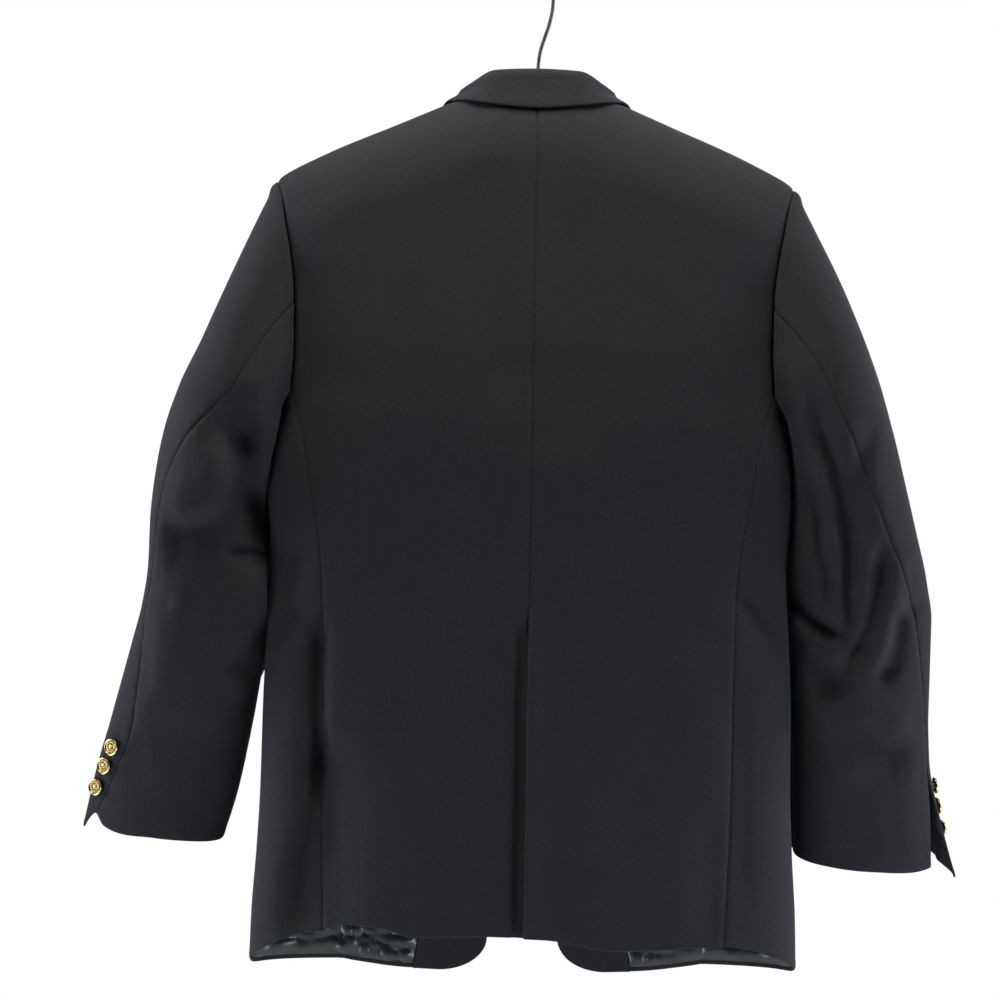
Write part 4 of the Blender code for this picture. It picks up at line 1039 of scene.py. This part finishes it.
def build_body():
    panels = (("back", back_surface, 225, 770, BODY_CENTRE, "vent seam plain turned"),
              ("side", side_surface, 150, 520, SIDE_CENTRE, "seam seam plain turned"),
              ("front", front_surface, 200, 800, BODY_CENTRE, "turned seam plain turned"))
    for side, word in SIDES:
        for panel, make_surface, width, length, centre, edges in panels:
            surface, rows = make_surface(side)
            points = grid(surface, fine(1, width), fine(rows - 1, length))
            vent = smooth_step((VENT_TOP - points[:, :1, 2]) / VENT_SLANT)
            cloth(f"{panel}_{word}", points, centre, edges, side, vent=vent)


def build_insides():
    """The facings and the crumpled lining, where they show inside the fronts' lower ends."""
    for side, word in SIDES:
        front, rows = front_surface(side)
        start = rows - 1 - LOW_ROWS
        points = grid(front, fine(FACING_SHARE, 100), start + fine(LOW_ROWS, 150))
        cloth(f"facing_{word}", points, BODY_CENTRE, "turned seam plain turned", side,
              (WOOL,), 1.5, INSIDE)
        around, around_rows = side_surface(side)
        low = fine(LINING_ROWS, 145)
        first = grid(front, FACING_SHARE + fine(1 - FACING_SHARE, 100), start + low)
        second = grid(around, 1 - fine(LINING_SIDE_SHARE, 80), around_rows - 1 - LOW_ROWS + low)
        points = np.concatenate([first, second[:, 1:]], axis=1)
        normals = grid_normals(points, LINING_CENTRE)
        crumple = CRUMPLE
        for number, (size, stretch, wave, sharp) in enumerate(CRUMPLE_WAVES, 1):
            part = ripple(points[..., 0], points[..., 2] * stretch, 40 + side * number, wave)
            crumple = crumple + size * (np.abs(part) if sharp else part)
        reach = distances(points)
        held = smooth_step(np.minimum(np.minimum(reach[0], reach[1]), reach[3]) / CRUMPLE_EASE)
        points = points - normals * (held * np.clip(crumple, 0, CRUMPLE_MOST))[..., None]
        cloth(f"lining_{word}", points, LINING_CENTRE, "plain plain plain turned", side,
              (LINING,), 0.8, INSIDE)


def build_lapels():
    for side, word in SIDES:
        surface, rows = lapel_surface(side)
        us = fine(1, 70)
        points = grid(surface, us, fine(rows - 1, 380))
        normals = grid_normals(points, LAPEL_CENTRE)
        swell = LAPEL_LIFT + LAPEL_SWELL * np.sin(np.pi * us ** 0.7)
        inward = points[:, 1] - points[:, 0]
        inward = inward / np.linalg.norm(inward, axis=1)[:, None]
        turn = np.radians(np.arange(180, 0, -20.0))[None, :, None]
        centre = points[:, :1] + normals[:, :1] * (LAPEL_LIFT - LAPEL_ROLL)
        wrap = centre + LAPEL_ROLL * (normals[:, :1] * np.cos(turn)
                                      - inward[:, None] * np.sin(turn))
        points = np.concatenate([wrap, points + normals * swell[None, :, None]], axis=1)
        cloth(f"lapel_{word}", points, LAPEL_CENTRE, "plain turned seam turned", side,
              (WOOL,), 1.6)


def build_collar():
    places = fine(14, 340) - 7
    us = fine(1, 84)
    points = grid(collar_surface(), us, places)
    far = np.abs(places)[:, None]
    points[..., 1] -= COLLAR_PRESS * between(far, 3.4, 2.2) * between(us, 0.6, 1)
    drawn = between(us, 0.4, 1)
    behind = between(far, 6.2, 4.6)
    points[..., 0] *= 1 - COLLAR_DRAW * between(far, 0.8, 2.4) * behind * drawn
    points[..., 2] += COLLAR_RAISE * behind * drawn
    cloth("collar", points, (0, 0, -100), "plain turned turned turned", materials=(WOOL,))


def build_sleeves():
    for side, word in SIDES:
        for piece, columns, width in (("top", TOP_SLEEVE_COLUMNS, 230),
                                      ("under", UNDER_SLEEVE_COLUMNS, 170)):
            surface, rows = sleeve_surface(side, columns, piece == "top")
            down = fine(rows - 1, 600, SLEEVE_GRID)
            us = fine(1, width, SLEEVE_GRID)
            points = grid(surface, us, down)
            high = smooth_step((points[..., 2] - ARMHOLE_BOTTOM) / HEAD_ROLL_RISE)
            head = SLEEVE_HEAD_ROLL * high * bell(distances(points)[2], *HEAD_ROLL_PLACE)
            points = points + grid_normals(points, SLEEVE_CENTRE) * head[..., None]
            vent = smooth_step((down - CUFF_VENT_RING) / 0.3)[:, None]
            edges = "seam vent seam turned" if piece == "top" else "vent seam seam turned"
            cloth(f"{piece}_sleeve_{word}", points, SLEEVE_CENTRE, edges, side, vent=vent)


# ---------------------------------------------------------------- buttons and the hanger
# Half of a button's outline, from its face's middle round to its shank, as shares of its
# radius and of its height.
BUTTON_PROFILE = (
    (0, 0.80), (0.1, 0.80), (0.2, 0.79), (0.3, 0.77), (0.4, 0.76), (0.5, 0.76), (0.6, 0.75),
    (0.68, 0.745), (0.74, 0.74), (0.78, 0.76), (0.81, 0.86), (0.845, 0.94), (0.88, 0.95),
    (0.91, 0.90), (0.93, 0.90), (0.955, 0.93), (0.98, 0.86), (1.0, 0.74), (1.0, 0.66),
    (0.975, 0.56), (0.90, 0.50), (0.6, 0.46), (0.3, 0.44), (0.27, 0.3), (0.3, 0.0), (0.0, 0.0))
BUTTON_STEPS = 96
FACE_STATIONS = 18       # of the outline's stations, half its spacing apart, inside the rim
ROSETTE, RAYS, RIM_NOTCHES = 4, 16, 48     # how often each goes round
RAYS_START, RAYS_END = 0.40, 0.74
ROSETTE_HEIGHT, RAYS_HEIGHT, NOTCH_HEIGHT = 0.10, 0.085, 0.02
GROUND_HEIGHT = 0.06     # relief under this height is darker


def swing(times, angle):
    return 0.5 + 0.5 * math.cos(times * angle)


def relief(radius, up, on_face, angle):
    """How far a button's surface stands up at a place, and how much of it is dark ground."""
    if not on_face:
        on_rim = radius > 0.9 and up > 0.85
        return (NOTCH_HEIGHT * swing(RIM_NOTCHES, angle) if on_rim else 0.0), 0.0
    raised = 0.0
    petal_edge = 0.20 + 0.16 * abs(math.cos(ROSETTE * angle))
    if radius < petal_edge:
        raised = ROSETTE_HEIGHT * math.sqrt(max(1 - (radius / petal_edge) ** 2, 0))
    elif RAYS_START < radius < RAYS_END:
        share = (radius - RAYS_START) / (RAYS_END - RAYS_START)
        raised = RAYS_HEIGHT * swing(RAYS, angle) * math.sin(math.pi * share)
    return raised, 1.0 - min(raised / GROUND_HEIGHT, 1.0)


def ring_faces(rings, steps):
    number = np.arange(rings * steps).reshape(rings, steps)
    after = np.roll(number, -1, axis=1)
    faces = np.stack([number[:-1], after[:-1], after[1:], number[1:]], -1)
    return faces.reshape(-1, 4).tolist()


def button(node, diameter, height, seat, facing):
    """A domed metal button with a raised rim, rays and a rosette, on its shank."""
    profile = np.array(BUTTON_PROFILE)
    stations = np.arange(2 * len(profile) - 1) / 2
    outline = [np.interp(stations, range(len(profile)), profile[:, k]) for k in (0, 1)]
    turn = Vector(facing).to_track_quat("Z", "Y").to_matrix().to_4x4()
    place = Matrix.Translation(Vector(seat)) @ turn
    verts, ground = [], []
    for index, (radius, up) in enumerate(zip(*outline)):
        for k in range(BUTTON_STEPS):
            angle = 2 * math.pi * k / BUTTON_STEPS
            raised, low = relief(radius, up, index < FACE_STATIONS, angle)
            across = radius * diameter / 2
            point = Vector((across * math.cos(angle), across * math.sin(angle),
                            (up + raised) * height))
            verts.append(place @ (point * MM))
            ground.append(low)
    faces = ring_faces(len(stations), BUTTON_STEPS)
    made[node] = new_object(f"gold_{node}", verts, faces, (GOLD,))
    mesh = made[node].data
    attribute = mesh.attributes.new("ground", "FLOAT", "POINT")
    attribute.data.foreach_set("value", np.array(ground, np.float32))
    clean(mesh, merge=True)


def build_buttons():
    for word, z in (("top", BUTTON_TOP_Z), ("low", BUTTON_LOW_Z)):
        point = body_at(np.array([[0.0]]), np.array([[z]]), FRONT)
        fold_front(point, LEFT)
        seat = hang(point[0, 0] + (0, -BUTTON_CLEAR, 0)) * MM
        button(f"front_button_{word}", FRONT_BUTTON, FRONT_BUTTON_HEIGHT, seat, (0, -1, 0))
    for side, word in SIDES:
        surface, _ = sleeve_surface(side, TOP_SLEEVE_COLUMNS, True)
        mirror = np.array([side, 1, 1])

        def at(u, ring):
            return surface(np.array([[u]]), np.array([[float(ring)]]))[0, 0]

        for number in range(3):
            ring = CUFF_BUTTON_RING[side] + number * CUFF_BUTTON_PITCH / RING_LENGTH[side]
            u = 1.0
            while math.dist(at(u, ring), at(1, ring)) < CUFF_BUTTON_INSET:
                u -= 0.002
            normal = np.cross(at(u - 0.02, ring) - at(u + 0.02, ring),
                              at(u, ring + 0.1) - at(u, ring - 0.1))
            normal /= np.linalg.norm(normal)
            if np.dot(normal, at(u, ring) - sleeve_ring(side, 180.0, ring)) < 0:
                normal = -normal
            seat = hang((at(u, ring) + normal * BUTTON_CLEAR) * mirror) * MM
            facing = hang((at(u, ring) + normal) * mirror) - hang(at(u, ring) * mirror)
            button(f"cuff_button_{word}_{number + 1}", CUFF_BUTTON, CUFF_BUTTON_HEIGHT, seat,
                   facing)


def build_hanger():
    stations = np.linspace(-HANGER.at[-1], HANGER.at[-1], 149)
    turns = np.radians(np.arange(0, 360, 10))
    verts = []
    for h in stations:
        depth, height = HANGER("depth", abs(h)), HANGER("height", abs(h))
        top = RIDGE("z", abs(h)) - HANGER("below", abs(h))
        verts.append(np.stack([h + 0 * turns, depth * np.sin(turns),
                               top - height + height * np.cos(turns)], -1))
    verts = hang(np.concatenate(verts)) * MM
    ends = [list(range(len(turns))), list(range(len(verts) - len(turns), len(verts)))]
    made["hanger_arms"] = new_object("wooden_arms", verts,
                                     ring_faces(len(stations), len(turns)) + ends, (WOOD,))


def build_hook():
    radius = HOOK_BOWL + WIRE / 2
    bowl = [(radius * math.cos(angle), -HOOK_BOWL + radius * math.sin(angle))
            for angle in np.radians(np.linspace(HOOK_OPEN_END, 180, 60))]
    foot = hang((0, 0, float(RIDGE("z", 0)) - float(HANGER("below", 0)) + HOOK_CLEAR))
    route = np.array(bowl + list(HOOK_NECK) + [(foot[0], foot[2])])
    run = np.concatenate([[0], np.cumsum(np.hypot(*np.diff(route, axis=0).T))])
    line = Table("run x z", *zip(run, route[:, 0], route[:, 1]))
    curve = bpy.data.curves.new("steel_hook", "CURVE")
    curve.dimensions = "3D"
    curve.bevel_depth = WIRE / 2 * MM
    curve.bevel_resolution = 6
    curve.use_fill_caps = True
    along = np.concatenate([[0, 0.25, 0.7], np.arange(HOOK_STEP, run[-1], HOOK_STEP), [run[-1]]])
    wire = curve.splines.new("POLY")
    wire.points.add(len(along) - 1)
    for point, at in zip(wire.points, along):
        point.co = (float(line("x", at)) * MM, 0, float(line("z", at)) * MM, 1)
        point.radius = min(1.0, 0.55 + 0.4 * at)
    curve.materials.append(STEEL)
    made["hook"] = put("steel_hook", curve)


# ---------------------------------------------------------------- floor, light and camera
FLOOR_Z = -1.60
FLOOR_RADIUS, FLOOR_STEPS = 3.3, 128
CAMERA_AT = (27.9, 2455.0, -480.0)
LENS = 96.0
# The lamps: place, the point each one faces, size, power and colour.
LAMPS = {
    "top": ((0.0, 0.30, 0.75), (0, 0, -0.2), (1.4, 0.5), 19, (1.0, 0.94, 0.87)),
    "near_top": ((0.0, 0.45, 0.32), (0, 0.02, -0.18), (0.9, 0.25), 2.6, (1.0, 0.93, 0.87)),
    "left": ((2.2, -0.03, -0.15), (0, 0, -0.5), (0.7, 1.4), 45, (0.95, 0.985, 1.0)),
    "right": ((-2.2, -0.03, -0.15), (0, 0, -0.5), (0.7, 1.4), 34, (0.94, 0.98, 1.0)),
    "low_left": ((0.85, 0.40, -1.25), (0.33, 0, -0.78), (0.4, 0.4), 4.4, (0.86, 0.95, 1.0)),
    "low_right": ((-0.85, 0.40, -1.25), (-0.33, 0, -0.78), (0.4, 0.4), 6.0, (0.86, 0.95, 1.0)),
    "low": ((0.3, 1.0, -1.9), (0.05, 0, -0.92), (0.5, 0.4), 6, (0.86, 0.95, 1.0)),
    "behind": ((-1.8, 0.9, 0.2), (0, 0, -0.5), (0.4, 0.6), 1.0, (0.90, 0.95, 1.0)),
    "front": ((-0.8, -2.2, 0.7), (0, 0, -0.4), (1.8, 1.4), 20, (1, 1, 1)),
}


def build_floor():
    n = Nodes("floor")
    mottle = n.noise(n.place(), 3.0, 3.0)
    n.set(Base_Color=n.ramp(mottle, (0.3, (0.80, 0.80, 0.80)), (0.7, (0.84, 0.84, 0.84))),
          Roughness=0.8)
    angles = [2 * math.pi * k / FLOOR_STEPS for k in range(FLOOR_STEPS)]
    ring = [(FLOOR_RADIUS * math.cos(a), FLOOR_RADIUS * math.sin(a), FLOOR_Z) for a in angles]
    new_object("floor", ring, [list(range(FLOOR_STEPS))], (n.material,))


def build_world():
    """A weak light from all round, behind a white ground that only the camera sees."""
    world = bpy.data.worlds.new("studio")
    bpy.context.scene.world = world
    world.use_nodes = True
    nodes, links = world.node_tree.nodes, world.node_tree.links
    shade = nodes["Background"]
    shade.inputs["Color"].default_value = (0.80, 0.84, 0.90, 1)
    shade.inputs["Strength"].default_value = 0.01
    seen = nodes.new("ShaderNodeBackground")
    seen.inputs["Color"].default_value = (1.0, 1.0, 1.0, 1)
    ray, both = nodes.new("ShaderNodeLightPath"), nodes.new("ShaderNodeMixShader")
    links.new(ray.outputs["Is Camera Ray"], both.inputs["Fac"])
    links.new(shade.outputs[0], both.inputs[1])
    links.new(seen.outputs[0], both.inputs[2])
    links.new(both.outputs[0], nodes["World Output"].inputs["Surface"])


def build_lamps():
    for name, (place, target, size, power, colour) in LAMPS.items():
        light = bpy.data.lights.new(name, "AREA")
        light.shape = "RECTANGLE"
        light.size, light.size_y = size
        light.energy = power
        light.color = colour
        lamp = put(name, light)
        lamp.location = place
        lamp.rotation_euler = (Vector(target) - Vector(place)).to_track_quat("-Z", "Y").to_euler()


def build_camera():
    bpy.context.scene.view_settings.view_transform = "Standard"
    camera = bpy.data.cameras.new("camera")
    camera.lens = LENS
    camera.sensor_width = 36.0
    camera.clip_end = 50
    thing = put("camera", camera)
    thing.location = Vector(CAMERA_AT) * MM
    thing.rotation_euler = (math.radians(90), 0, math.radians(180))
    bpy.context.scene.camera = thing


def declare():
    for node, piece in made.items():
        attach(piece, "root")
        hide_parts(node)


build_body()
build_insides()
build_lapels()
build_collar()
build_sleeves()
build_buttons()
build_hanger()
build_hook()
build_floor()
build_world()
build_lamps()
build_camera()
declare()
